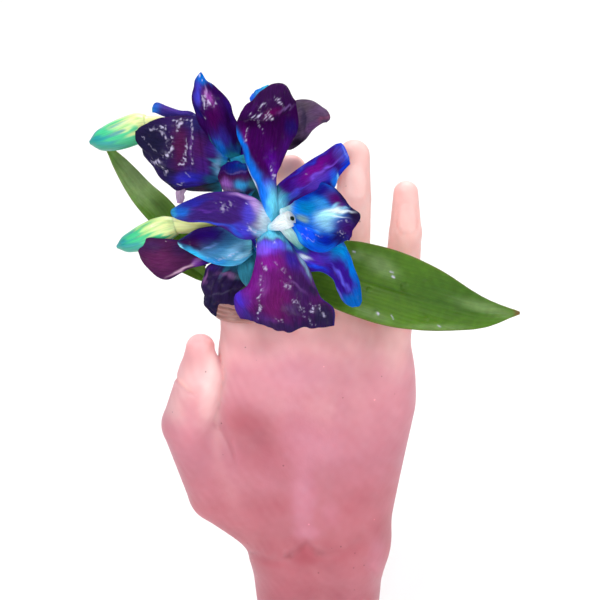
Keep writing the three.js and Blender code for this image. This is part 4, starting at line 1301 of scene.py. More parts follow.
# %% Front bloom: shape of the bottom petal
BOTTOM_SPOTS = [
    [(259, 231, -35), (263, 229.5, -36), (268, 228.5, -36.5), (273, 228, -36.5),
     (278, 228.5, -36.5), (283, 230, -36), (287, 233, -35)],
    [(256.5, 241, -38.5), (261, 239, -40.5), (266.5, 238, -41.7), (273, 237.7, -42.2),
     (280.5, 238.5, -41.7), (288, 242, -40.5), (293.5, 247, -38.5)],
    [(255.5, 248.5, -40.5), (260, 246, -42.5), (267, 245, -43.7), (275, 245, -44.2),
     (283, 245.5, -43.7), (291, 248.5, -42.2), (298, 254, -40.5)],
    [(256, 257, -41), (261, 256, -43.5), (268, 256, -44.5), (277, 256, -45),
     (285, 256, -44.5), (293, 256, -43), (301, 257, -41)],
    [(253, 271, -41.5), (260, 271, -43.5), (269, 271, -45), (280, 271, -45.5),
     (290, 270, -45), (300, 269, -43.5), (309, 268, -41)],
    [(247, 285, -42), (256, 286, -43.5), (268, 286, -44.5), (281, 286, -45),
     (293, 286, -44), (304, 284, -43), (314, 281, -41)],
    [(235, 295, -42.5), (249, 298, -43), (264, 301, -43.5), (280, 302, -44.5),
     (295, 301, -43), (308, 299, -43.5), (321, 297, -41.5)],
    [(236, 306, -40), (249, 310, -42.5), (262, 314, -41.5), (279, 318, -43.5),
     (296, 316, -41.5), (313, 312, -43.5), (334, 309, -42)],
    [(241, 318, -38.5), (254, 322, -41.5), (268, 327, -39.5), (287, 333, -42),
     (303, 327, -39.5), (317, 328.5, -42.5), (334, 325, -41)],
]
BOTTOM_FOLDS = [
    (0.55, 2, (264, 272), (260, 286), (261, 300), (256, 316)), (0.4, 1.5, (280, 279), (290, 285), (300, 288)),
    (0.45, 2, (283, 299), (287, 307), (293, 319)), (-0.4, 2, (249, 298), (251, 320)),
    (0.45, 2.4, (311, 302), (316, 322)), (0.35, 1.5, (272, 262), (284, 274)),
    (0.3, 2, (268, 318), (284, 322)),
]
print("rows:", len(BOTTOM_SPOTS), "folds:", len(BOTTOM_FOLDS))

# %% [markdown]
# It is magenta in the middle and nearly black at its end. It has many rows and columns of points, as its
# glints are fine: a long wet one on the left and broken ones on the right. A pale sheen on its left is
# painted, and so is the shadow in a notch of its right edge.

# %% Front bloom: bottom petal
front_bottom_petal = petal(
    BOTTOM_SPOTS, folds=BOTTOM_FOLDS,
    crinkle=0.3, pitch=8, ruffle=0.35, waves=2, seed=21, rows=118, columns=104,
    paint=dyed(AQUA, colour(100, 8, 98), PLUM, INDIGO, reach=0.24, rim_width=0.04, back=0.1, marks=[
    (272, 285, 28, 17, 90, (118, 0, 116), 0.95), (276, 305, 22, 13, 90, (114, 0, 94), 0.92),
    (302, 287, 24, 11, 75, (62, 4, 80), 0.95), (300, 310, 16, 9, 0, (66, 14, 78), 0.9),
    (275, 233, 18, 6, 10, AQUA, 1), (290, 246, 10, 4, 50, CYAN * 0.6 + AQUA * 0.4, 1),
    (291, 259, 12, 7, 60, (56, 30, 150), 0.95), (268, 249, 11, 4, 0, (122, 48, 196), 0.9),
    (256, 260, 12, 4, 100, (104, 42, 185), 0.85), (268, 262, 14, 8, 0, (142, 22, 150), 0.9),
    (252, 282, 28, 8, 105, (130, 4, 138), 0.95), (244, 304, 14, 6, 100, (104, 44, 158), 0.8),
    (272, 245, 17, 4, 2, (112, 108, 244), 0.95), (268, 252, 12, 4, 0, (132, 66, 214), 0.7),
    # (313, 290) is painted shadow in a notch of the right edge.
    (304, 266, 17, 1.9, 62, (150, 195, 215), 0.75), (313, 290, 7, 4, 60, INK, 0.8),
    (304, 274, 11, 2, 55, (110, 92, 190), 0.4), (297, 286, 11, 1.6, 40, (150, 110, 172), 0.4),
    (291, 308, 8, 3.4, 35, (112, 92, 142), 0.3), (323, 315, 12, 13, 0, (40, 22, 48), 1),
    # (263, 285) is a painted sheen.
    (262, 250, 9, 6, 0, (144, 104, 238), 0.8), (263, 285, 7, 12, 0, (150, 80, 165), 0.4),
    (265, 320, 12, 6, 10, (100, 54, 136), 0.7), (240, 300, 9, 5, 70, (82, 52, 202), 0.95),
    (246, 313, 8, 4, 60, (68, 38, 142), 0.85), (275, 326, 20, 4, 8, (56, 30, 76), 0.85),
], wet=[
    (260, 295, 26, 4, 95, 1), (296, 290, 14, 6, 45, 1), (292, 308, 10, 10, 60, 1), (278, 268, 8, 5, 0, 0.8),
    (318, 314, 8, 8, 0, 0.6),
], glints=[
    (1.2, 0.95, (260, 277), (261, 288), (259, 300), (260, 310), (257, 318)),
    (1, 0.3, (275, 262), (286, 272), (292, 278)), (1.2, 0.7, (283, 284), (289, 287)),
    (1, 0.7, (262, 262), (266, 268)), (1.4, 0.9, (297, 300), (300, 306), (303, 311)),
    (1.5, 0.9, (309, 303), (313, 306), (311, 312)), (1.2, 0.8, (319, 307), (322, 313), (323, 318)),
    (1.4, 0.7, (291, 297), (294, 303)), (1, 0.6, (303, 316), (309, 320), (314, 324)),
    (1, 0.6, (275, 318), (283, 322)),
]))

# %% [markdown]
# ### Columns and stalks
# In the throat of an orchid stands one thick column, which holds the pollen. A small dark dot at its end is
# painted shade of the hollow there.
# Behind the bloom a thin stalk runs to the stem. Both are round bars with their own colours.

# %% Column, foot and painted tip shade of the front bloom
def stalk_and_column(pedicel, column, radii, tones):
    stalk = bar(pedicel, [1.5, 1.1, 1, 0.9], [ICE, LIME, PALE_GREEN, PALE_GREEN])
    column = bar(column, radii, tones, 32, 60)
    column["finish"] = 1
    return [stalk, column]


front_column = stalk_and_column(
    [[-18, -35, 201], [-18, -28, 199], [-23, -20, 191], [-28, -17, 184]],
    [spot(269, 227.5, -37), spot(276, 225.5, -41), spot(283, 222, -44.3), spot(290, 218.8, -46)],
    [1.3, 1.5, 2.0, 2.5, 2.8, 2.7], [AQUA, AQUA * 0.4 + WHITE * 0.6, WHITE, WHITE, STONE * 0.3 + WHITE * 0.7])
foot = bar([spot(284, 226, -42), spot(291, 232, -44), spot(297, 239, -45), spot(302, 247, -44.5)],
           [2.0, 2.5, 2.2, 1.2], [WHITE, colour(170, 204, 204), colour(118, 168, 166), LAKE], 28, 50)
# Painted shade: a small dark bar where the column's end is hollow.
column_tip_shade = bar([spot(290.8, 217, -47.4), spot(292.3, 218.4, -47.9), spot(293.4, 220.3, -47.8)],
          [0.35, 0.7, 0.3], colour(20, 34, 26), 14, 12)
foot["finish"] = column_tip_shade["finish"] = 1
front_petals = [front_left_sepal, front_top_petal, front_right_sepal, front_lower_sepal, front_bottom_petal]
make("bloom_front_petals", front_petals + front_column + [foot, column_tip_shade], [petal_skin, column_skin],
     "bloom_front")

# %% [markdown]
# The lip is the petal on which an insect lands. Here it is a deep scoop: its rows run over the upper
# edge, down through the bright hollow and up again over the lower edge, which curls towards us.

# %% Front bloom: lip
front_lip = petal([
    [(283, 203, -39), (281, 207, -38.5), (280, 212, -39), (281, 217, -40),
     (285, 226, -42), (287, 226, -43), (288, 223, -43)],
    [(292, 198.5, -40), (290, 205, -39.3), (289, 212, -40), (290, 220, -42),
     (293, 233, -44.5), (294, 229, -46), (294.5, 223, -46)],
    [(301, 193.5, -40.5), (301, 203, -39.5), (301, 213, -40), (302, 226, -42.5),
     (302, 242, -46.5), (302, 235, -48.3), (302, 225, -48)],
    [(311, 187.5, -41), (312, 199, -39.5), (312, 213, -40), (312, 231, -43),
     (312, 249.5, -47.3), (312.5, 240, -49.2), (313, 228, -48.8)],
    [(322, 182, -42), (323, 197, -40.5), (323, 213, -41), (323, 232, -44),
     (323, 251.5, -47.3), (323.5, 243, -49.2), (324, 232, -48.9)],
    [(331.5, 186, -43), (333, 199, -42), (334, 214, -42), (333, 231, -44.5),
     (332, 248.5, -47), (333, 242, -48.8), (334, 234, -48.7)],
    [(341, 195, -44.5), (343, 204, -43.5), (344, 215, -43.5), (343, 228, -45),
     (340, 242, -47), (341.5, 239, -48), (342.5, 236, -48.4)],
    [(350, 205, -45.5), (352, 211, -45), (353, 217, -45), (352, 226, -46),
     (349, 236, -47.3), (348.5, 238.5, -47.8), (348, 240, -48)],
    [(358.5, 213, -46.5), (360, 216, -46.5), (359.8, 220, -46.5), (356, 225, -47),
     (352.5, 232, -47.5), (350, 236.5, -47.8), (348.3, 239.8, -48)],
], crinkle=0.16, pitch=6, ruffle=0.2, waves=3, seed=25, rows=120, columns=140, thick=0.6, folds=[
    (0.3, 1.3, (320, 216), (333, 211), (352, 212)), (0.3, 1.3, (322, 221), (334, 217), (350, 222)),
    (0.25, 1.3, (301, 232), (310, 240), (322, 243)), (0.25, 1.2, (306, 228), (316, 236), (330, 240)),
], paint=dyed(WHITE, colour(20, 118, 215), PLUM, PLUM,
              reach=0.12, rim_width=0.03, rim_strength=0.4, back=0.0, marks=[
    (297, 209, 10, 6, 80, (20, 134, 236), 0.95), (308, 208, 11, 8, 20, (8, 142, 196), 0.95),
    (321, 203, 10, 5, 20, (70, 158, 218), 0.9), (309, 192, 18, 5, -27, (24, 72, 190), 0.95),
    (322, 190, 9, 6, 0, (36, 28, 144), 0.95), (326, 222, 9, 11, 75, (160, 216, 240), 0.95),
    (330, 213.5, 13, 6, -10, (186, 246, 252), 1), (338, 200, 14, 7.5, 38, (98, 24, 116), 1),
    (344, 195, 17, 4.5, 47, (42, 24, 74), 1), (348, 229, 15, 14, -30, (72, 30, 114), 1),
    (357, 215, 10, 10, 50, (50, 34, 76), 1), (342, 210.5, 12, 1.9, 4, WHITE, 1),
    (334, 209, 10, 2.6, -6, WHITE, 0.8), (345, 207.3, 6, 1, -8, ICE, 0.7),
    (338, 216.5, 9, 1.1, 10, WHITE, 0.8), (334, 205.5, 6, 1.1, -20, ICE, 0.8),
    (306, 233, 12, 7, 25, (24, 88, 246), 1), (326, 240, 13, 7, 5, (14, 34, 160), 0.95),
    (338, 238, 8, 6, 0, (34, 22, 96), 0.95), (299, 235, 8, 2.5, 65, (60, 166, 240), 0.85),
    # (302, 219) is painted shade beside the column.
    (313, 247.5, 14, 2.6, 12, (14, 84, 206), 0.85), (302, 219, 8, 3.6, 20, (140, 172, 168), 0.9),
    (287, 206, 12, 6, 90, (166, 204, 208), 1),
], wet=[
    (336, 213, 14, 6, 0, 0.8), (345, 226, 8, 8, 0, 0.7), (314, 236, 12, 6, 20, 0.8),
], glints=[
    (0.8, 0.5, (299, 231), (306, 238), (314, 241)), (0.7, 0.45, (306, 227), (315, 235), (322, 238)),
    (1, 0.5, (338, 223), (342, 221), (347, 222)), (0.8, 0.5, (340, 230), (342, 235)),
]))
make("bloom_front_scoop", [front_lip], [lip_skin], "bloom_front_lip")

# %% [markdown]
# ## The upper bloom
# It stands behind and to the left. Its top petal ends in a blue point and has a painted highlight on the
# ridge where two folds meet.

# %% Upper bloom: top petal
upper_top_petal = petal([
    [(217, 157, -27), (221, 157.5, -28), (225, 158, -28.5), (232, 157, -28), (240, 156, -27)],
    [(209, 143, -29), (215, 143, -31), (222, 144, -31.5), (231, 143, -31), (241, 143, -29)],
    [(201.5, 128, -30), (209, 129, -32), (218, 130, -32.5), (228, 129, -31.5), (239, 127, -29.5)],
    [(196, 114, -30), (204, 115, -32), (213, 116, -32.5), (223, 115, -31.5), (233, 114, -29.5)],
    [(192.5, 101, -29.5), (201, 103, -31.5), (210, 104, -31.5), (220, 103, -30), (230, 103, -28.5)],
    [(193, 90, -28), (199, 92, -29.5), (206, 93, -29.5), (214, 93, -28.5), (222, 92, -27.5)],
    [(195, 79.5, -26), (198, 81, -26.5), (201, 82, -26.5), (204, 82.5, -26.3), (208, 84, -26)],
    [(200, 73, -24.5), (200.5, 72.5, -24.3), (201, 72, -24), (201.5, 73, -24.3), (202, 74, -24.5)],
], crinkle=0.35, pitch=8, ruffle=0.3, waves=2, seed=33, rows=130, columns=76, folds=[
    (0.5, 2, (201, 90), (204, 100), (210, 108)), (0.4, 1.8, (211, 92), (211, 101), (208, 108)),
    (-0.4, 2.5, (206, 94), (208, 106)), (0.35, 1.4, (202, 108), (206, 118), (208, 128)),
    (0.3, 2, (222, 98), (226, 120)),
], paint=dyed(LAKE, colour(60, 16, 92), SKY, PLUM, reach=0.2, rim_width=0.05, marks=[
    (201, 78, 8, 6, 90, (0, 112, 195), 1), (198, 95, 15, 4, 88, (80, 76, 196), 0.95),
    # (210, 100) and (206, 92) are the painted highlight on the ridge where two folds meet.
    (210, 100, 10, 4, 62, (166, 88, 176), 0.85), (206, 92, 6, 1.3, 80, ROSE, 0.6),
    (222, 104, 15, 7, 68, (56, 16, 92), 0.9), (214, 117, 11, 7, 90, (84, 8, 92), 0.85),
    (197, 110, 7, 3, 60, (26, 26, 108), 0.8), (229, 110, 13, 3, 75, (58, 30, 124), 0.8),
    (236, 124, 7, 3, 60, (80, 38, 126), 0.8), (224, 140, 12, 8, 60, (66, 62, 168), 0.7),
    (222, 149, 13, 4, 58, (25, 110, 205), 0.9), (236, 150, 7, 5, 0, (50, 90, 170), 0.8),
    (234, 157, 13, 5, 0, (60, 168, 182), 0.95),
], wet=[
    (208, 100, 8, 9, 0, 1), (204, 113, 4, 6, 0, 0.9),
], glints=[
    (1.1, 0.7, (205, 92), (207, 99), (209, 106)), (1, 0.6, (203, 97), (205, 105), (207, 109)),
    (1.4, 0.6, (212, 98), (215, 103), (213, 108)), (1, 0.6, (203, 112), (205, 117)),
    (0.9, 0.7, (200, 75), (202, 82)),
]))

# %% [markdown]
# The left petal is so dark that it looks black, with a magenta middle. It is the wettest of all, and
# only its many glints show how it bends.

# %% Upper bloom: left petal
upper_left_petal = petal([
    [(231, 152, -28), (228, 158, -28.5), (227, 165, -29), (228, 172, -28.5), (232, 180, -28)],
    [(210, 132, -29), (207, 145, -31.5), (206, 159, -32.5), (206, 172, -31.5), (211, 183, -29)],
    [(198, 118, -29), (193, 135, -32.5), (192, 154, -33.5), (192, 172, -32), (199, 186, -29)],
    [(184, 115.5, -28), (179, 132, -30.5), (178, 152, -32), (180, 171, -32), (187, 188, -28.5)],
    [(168, 117, -27), (165, 131, -30), (164, 149, -32), (167, 167, -30.5), (176, 190.5, -28)],
    [(153, 120, -25.5), (151, 131, -27.5), (151, 145, -28.5), (155, 159, -28.5), (165, 182, -27)],
    [(141, 126, -24), (140, 132, -25), (141, 141, -26), (144, 151, -26), (153, 167, -25.5)],
    [(136, 132, -23.5), (135.3, 134, -23.5), (136, 138, -24), (138, 143, -24), (145, 156, -24)],
], crinkle=0.3, pitch=8, ruffle=0.25, waves=2, seed=38, rows=130, columns=110, folds=[
    (0.55, 1.7, (163, 127), (170, 134), (172, 145), (168, 153), (160, 157), (153, 162)),
    (0.4, 1.5, (150, 133), (158, 128), (166, 131)), (0.35, 1.5, (155, 138), (163, 143), (160, 150)),
    (0.35, 1.2, (186, 138), (186, 152), (187, 166)), (0.3, 1.2, (190, 118), (192, 140), (191, 165)),
    (0.4, 2, (176, 120), (180, 131)), (0.45, 1.6, (155, 165), (163, 172), (168, 170)),
    (0.25, 1.5, (176, 150), (181, 168)), (0.3, 2, (200, 130), (203, 155), (205, 172)),
], paint=dyed(colour(60, 165, 190), colour(58, 10, 88), INK, INK,
              reach=0.13, rim_width=0.03, back=0.1, marks=[
    (152, 142, 26, 20, 60, (24, 18, 34), 1), (168, 174, 18, 9, 50, (32, 12, 58), 0.95),
    (180, 122, 10, 8, 0, (40, 28, 70), 0.7), (180, 146, 24, 8, 92, (90, 2, 60), 0.95),
    (191, 148, 24, 1.1, 90, (130, 88, 160), 0.5), (199, 148, 15, 7, 90, (86, 10, 90), 0.9),
    (196, 124, 12, 7, 0, (42, 36, 98), 0.9), (213, 150, 10, 7, 60, (84, 28, 140), 0.8),
    (221, 150, 13, 4, 58, (24, 116, 214), 0.95), (217, 168, 9, 3.6, 95, (150, 196, 232), 0.9),
    (204, 166, 12, 7, 60, (84, 22, 128), 0.9), (190, 178, 15, 7, -5, (56, 54, 196), 0.95),
    (180, 184, 10, 3, 20, (50, 34, 140), 0.7), (212, 180, 8, 5, 0, (44, 120, 160), 0.9),
    (171, 187, 9, 4, 50, (28, 12, 58), 0.8),
], wet=[
    (158, 131, 10, 7, 0, 1), (168, 145, 14, 5, 90, 1), (160, 164, 12, 8, 30, 1), (178, 125, 8, 8, 0, 1),
    (186, 150, 20, 4, 90, 1), (182, 182, 8, 5, 0, 1),
], glints=[
    (1.2, 0.9, (163, 127), (169, 131), (172, 138), (173, 146), (170, 152), (165, 157), (158, 160)),
    (1, 0.6, (158, 128), (163, 132), (167, 140), (168, 146)),
    (2.4, 0.9, (153, 161), (158, 162), (163, 158), (167, 154)),
    (1.5, 0.9, (163, 168), (167, 171), (165, 173)), (1.5, 0.6, (151, 129), (157, 129), (163, 127)),
    (1.4, 0.8, (175, 122), (179, 120), (181, 124), (178, 127), (177, 131)), (1, 0.7, (184, 120), (189, 121)),
    (1, 0.9, (186, 138), (187, 143), (186, 150), (187, 158), (183, 164), (178, 165)),
    (0.8, 0.6, (191, 120), (192, 130), (192, 145), (191, 155), (192, 166)),
    (1.1, 0.8, (179, 184), (184, 183)), (1, 0.5, (185, 172), (190, 177)),
    (0.8, 0.35, (141, 136), (150, 145), (156, 150)),
]))

# %% [markdown]
# Two sepals look out from behind it: a narrow blue one at the top, and a pale one that hangs down.

# %% Upper bloom: sepals
upper_narrow_sepal = petal([
    [(212, 140, -25), (212, 144, -25.5), (212, 148, -25)],
    [(203, 122, -24), (202, 127, -25), (202, 132, -24)],
    [(192, 112, -22.5), (191, 117, -23.5), (190, 123, -22.5)],
    [(180, 110.5, -21), (179, 114.5, -22), (178, 119, -21)],
    [(167, 106, -19.5), (166, 110.5, -20.5), (165, 116.5, -19.5)],
    [(157, 102.5, -18), (156, 107.5, -18.5), (156, 113, -18)],
    [(152.5, 107, -17), (152, 109, -17), (152.5, 112.5, -17)],
], crinkle=0.2, seed=41, paint=dyed(CYAN, colour(66, 46, 140), SKY, INDIGO, marks=[
    (155, 108, 6, 6, 0, (20, 130, 230), 1), (152.5, 110, 2, 4, 0, CYAN, 1),
    (176, 109, 18, 3, 8, (104, 72, 160), 0.7),
]))
upper_low_sepal = petal([
    [(192, 176, -25), (195, 178, -25.5), (198, 180, -25)],
    [(180, 184, -23.5), (184, 186, -24.5), (188, 188, -23.5)],
    [(176, 191, -22), (180, 192, -23), (184, 193, -22)],
    [(176, 197, -20.5), (180.3, 198, -21.5), (184.5, 197.5, -20.5)],
    [(177, 203, -19), (180, 204, -19), (183, 203, -19)],
], crinkle=0.2, seed=43, paint=dyed(VIOLET, colour(206, 180, 212), ROSE, colour(214, 190, 220)))

# %% [markdown]
# Below the dark petal its own underside shows, painted dark brown and green for the shade it lies in, and at
# the right a light one. One more sepal is hidden behind them, so a spine with widths is enough for it.

# %% Upper bloom: small petals
upper_under_petal = petal([
    [(224, 176, -27), (223, 184, -28), (222, 192, -27)],
    [(207, 181, -26.5), (207, 186, -27.5), (207, 192, -26.5)],
    [(192, 184, -26), (192, 187.5, -26.5), (192, 191, -26)],
    [(185, 187.5, -25.5), (185, 188.5, -25.5), (185, 189.5, -25.5)],
], crinkle=0.2, seed=45,
    paint=dyed(LAKE, colour(52, 58, 38), colour(90, 50, 80), colour(80, 120, 110), marks=[
    (200, 189, 6, 2, 0, (86, 48, 22), 0.7), (214, 186, 6, 4, 0, (30, 92, 88), 0.7),
]))
upper_right_petal = petal([
    [(230, 158, -27.5), (234, 174, -28), (234, 194, -27.5)],
    [(247, 155, -28.5), (250, 176, -30), (248, 202, -28.5)],
    [(259, 165, -29), (261, 184, -31), (258, 204, -29)],
    [(267, 182, -30), (268, 192, -31), (266, 201, -30)],
], crinkle=0.3, seed=46, paint=dyed(CYAN, colour(72, 160, 175), LAKE, CYAN, marks=[
    (254, 192, 8, 4, 0, (70, 140, 122), 0.85), (246, 158, 6, 4, 0, (60, 160, 180), 0.9),
]))
upper_hidden_sepal = blade(
    spined([[-33.5, -26, 220], [-26, -26, 225], [-20, -25, 232]], [2, 3.8, 4.5, 4.1, 3, 0.6],
           [-0.1, -1, 0.15], [0.5, 0.5]),
    seed=47, crinkle=0.2, paint=dyed(CYAN, VIOLET, SKY, SKY))
upper_column = stalk_and_column(
    [[-33.5, -25, 220], [-34, -21, 217], [-37, -18, 210], [-37, -16, 207]],
    [[-33.5, -26, 219], [-33, -27.5, 218.5], [-32.5, -29, 218]], [2.0, 1.8, 1.2], [LAKE, ICE, WHITE])
upper_petals = [upper_top_petal, upper_left_petal, upper_narrow_sepal, upper_low_sepal, upper_under_petal,
                upper_right_petal, upper_hidden_sepal]
make("bloom_upper_petals", upper_petals + upper_column, [petal_skin, column_skin],
     "bloom_upper")

# %% [markdown]
# Its lip curls up towards us into a dark rounded hood, with a rib across it and pale cheeks below.

# %% Upper bloom: lip
upper_lip = petal([
    [(228, 197, -32.5), (233, 198, -32.5), (239, 198, -32.5), (245, 197, -32.5), (251, 196, -32.5)],
    [(222, 188, -35.5), (229, 190, -37.5), (238, 191, -38.5), (248, 190, -37.5), (257, 186, -35.5)],
    [(218, 178, -36), (226, 180, -39), (237, 181, -40.5), (249, 180, -39.3), (256, 179, -36)],
    [(219.5, 171, -36.5), (227, 171, -39.3), (237, 171, -41), (248, 171, -39.5), (252.5, 171, -36.5)],
    [(223, 165.5, -36.5), (229, 164, -38.5), (236, 163.5, -39.8), (244, 164.5, -38.5), (249, 166.5, -36.5)],
    [(228, 162.3, -35), (232, 161.4, -36), (236, 161.2, -36.5), (241, 162, -36), (245, 163.5, -35)],
], crinkle=0.18, pitch=6, seed=51, rows=90, columns=70, folds=[
    (0.3, 1.5, (222, 173), (237, 172), (251, 174)),
], paint=dyed(CYAN, GRAPE, NAVY, PLUM, reach=0.2, rim_width=0.04, back=0.0, marks=[
    (236, 166, 15, 5, 0, (18, 38, 132), 1), (244, 167.5, 7, 3.5, 20, (0, 78, 138), 0.95),
    (236, 171, 12, 4, 0, (34, 52, 132), 0.8), (235, 177, 18, 3, 0, (76, 28, 80), 0.9),
    (236, 172.5, 13, 0.9, 0, (108, 92, 142), 0.6), (226, 185, 7, 6, 0, (158, 108, 190), 0.95),
    (242, 185.5, 8, 6, 0, (66, 164, 216), 0.95), (253, 184, 7, 4, 70, (88, 162, 165), 0.9),
    (219.5, 176, 5, 3, 100, (74, 32, 94), 0.9), (255, 180, 10, 1.2, 66, WHITE, 0.9),
    (231, 190, 10, 2, 0, (190, 150, 216), 0.7),
]))
make("bloom_upper_hood", [upper_lip], [lip_skin], "bloom_upper_lip")

# %% [markdown]
# ## The lower bloom
# It turns to the left, behind the front bloom. Its left petal is a flat, matt maroon with a pale
# lower rim.

# %% Lower bloom: left petal
lower_left_petal = petal([
    [(228, 250, -27.5), (227, 253, -28), (227, 257, -27.5)],
    [(206, 244, -28.5), (206, 254, -29), (207, 264, -27.5)],
    [(190, 241.5, -29.5), (191, 255, -29.5), (193, 267, -27)],
    [(174, 239.5, -30), (176, 256, -29.5), (181, 273, -26.5)],
    [(160, 238.3, -30), (161, 256, -29), (168, 279.5, -26)],
    [(149, 237.8, -29.3), (149, 253, -28.5), (157, 277, -25.5)],
    [(141, 240.5, -28), (140.5, 251, -27.5), (147, 268, -25)],
    [(138.5, 246, -27), (138, 250, -26.5), (141, 258, -25.5)],
], crinkle=0.25, pitch=9, seed=61, rows=100, columns=56, folds=[
    (0.3, 2, (144, 248), (165, 252), (185, 252)),
], paint=dyed(VIOLET, colour(84, 22, 64), colour(76, 20, 62), PLUM, back=0.1, marks=[
    (160, 260, 18, 12, 0, (112, 40, 88), 0.9), (150, 245, 12, 6, 0, (78, 42, 90), 0.8),
    (186, 248, 14, 8, 0, (58, 22, 74), 0.8), (183, 268.5, 18, 1.4, -28, (228, 192, 216), 0.85),
    (197, 262, 5, 3, 0, (150, 80, 190), 0.6),
], wet=[
    (158, 250, 14, 8, 0, 0.4),
]))

# %% [markdown]
# A dark petal is folded like cloth and ends in a point, with painted highlights on its ridges, and a teal one
# fills the gap beside it.

# %% Lower bloom: folded petal
lower_folded_petal = petal([
    [(236, 256, -29), (239, 257, -30), (243, 258, -30.5), (248, 259, -30)],
    [(216, 262, -30), (226, 266, -33), (238, 269, -33), (249, 271, -31)],
    [(206, 267, -31), (217, 275, -34), (230, 280, -32), (245, 284, -31)],
    [(202.5, 281, -30), (210, 285, -33), (222, 289, -32.5), (238, 293.5, -30)],
    [(202.5, 294, -29), (208, 296, -31.5), (218, 299, -31.5), (234, 303, -29.5)],
    [(204, 303, -28), (208, 304, -29.5), (213, 304.5, -29.5), (220, 304, -28.5)],
    [(210, 310, -26.5), (212, 312, -27), (215, 312, -27), (217, 311, -26.5)],
    [(215, 316, -26), (215.5, 317, -26), (216, 317, -26), (216.5, 316, -26)],
], crinkle=0.4, pitch=6, ruffle=0.4, waves=2, seed=65, rows=110, columns=76, folds=[
    (0.5, 2, (212, 268), (205, 280), (203, 296)), (0.6, 2, (215, 276), (228, 272), (245, 277)),
    (-0.4, 2.5, (225, 284), (243, 284)), (0.4, 1.5, (222, 270), (214, 285), (210, 305)),
], paint=dyed(LAKE, colour(46, 16, 58), INK, INK, reach=0.28, back=0.1, marks=[
    # (206, 277) and (228, 275) are painted highlights on the ridges of the folds.
    (212, 267, 9, 4, 10, (90, 44, 142), 0.85), (206, 277, 8, 1.2, 110, (180, 125, 185), 0.5),
    (228, 275, 9, 2.6, 8, (152, 110, 156), 0.85), (243, 277, 8, 3.2, 5, (112, 150, 156), 0.9),
    (232, 285, 15, 4.5, 0, (40, 12, 58), 0.95), (212, 305, 9, 7, 60, (30, 22, 46), 0.9),
    (224, 292, 13, 1.1, -15, (96, 96, 110), 0.5), (246, 263, 8, 8, 0, (48, 128, 148), 0.9),
], wet=[
    (214, 285, 16, 8, 110, 0.8),
]))

# %% Lower bloom: teal petal
lower_teal_petal = petal([
    [(238, 248, -28), (246, 248, -29), (254, 247, -28)],
    [(236, 258, -31), (246, 259, -33), (257, 258, -31)],
    [(237, 268, -33), (247, 270, -35.5), (257, 269, -33)],
    [(241, 279, -33), (248, 281, -34.5), (256, 280, -33)],
    [(247, 288, -31.5), (250, 289, -31.5), (253, 288, -31.5)],
], crinkle=0.3, seed=67, paint=dyed(CYAN, colour(62, 156, 172), colour(130, 168, 176), LAKE, marks=[
    (237, 262, 8, 3, 80, (34, 90, 122), 0.8),
]))

# %% [markdown]
# Its three sepals show only from the side or from behind, so they have a spine, widths and plain
# dyes.

# %% Lower bloom: hidden sepals
SEPAL_HALVES = [2, 3.8, 4.5, 4.1, 3, 0.6]
LOWER_ROOT, LOWER_FACING = [-25, -27, 188.5], [-0.6, -0.75, -0.2]
LOWER_SEPALS = [  # the spine after the root, half widths, seed and body colour
    ([[-26.5, -31, 197], [-26, -33, 206]], [2, 4, 5, 4, 1.2], 71, VIOLET),
    ([[-18, -28, 185], [-9, -27, 182]], SEPAL_HALVES, 72, PURPLE),
    ([[-34, -20, 190.5], [-43, -16, 198.5]], SEPAL_HALVES, 73, VIOLET),
]
lower_sepals = [
    blade(spined([LOWER_ROOT, *points], halves, LOWER_FACING, [0.4, 0.4]), seed=seed, crinkle=0.2,
          paint=dyed(CYAN, body, SKY, SKY))
    for points, halves, seed, body in LOWER_SEPALS]
lower_column = stalk_and_column(
    [[-25, -26, 188.5], [-25, -23, 186], [-26.5, -19, 181.5], [-27, -17.5, 180]],
    [LOWER_ROOT, [-25.5, -28, 189], [-26.5, -28.6, 189.5]], [1.8, 1.6, 1.0], [ICE, ICE, WHITE])
lower_petals = [lower_left_petal, lower_folded_petal, lower_teal_petal] + lower_sepals
make("bloom_lower_petals", lower_petals + lower_column, [petal_skin, column_skin],
     "bloom_lower")

# %% [markdown]
# Its lip shows from the side, like a small pale blue boat with a dark hold.

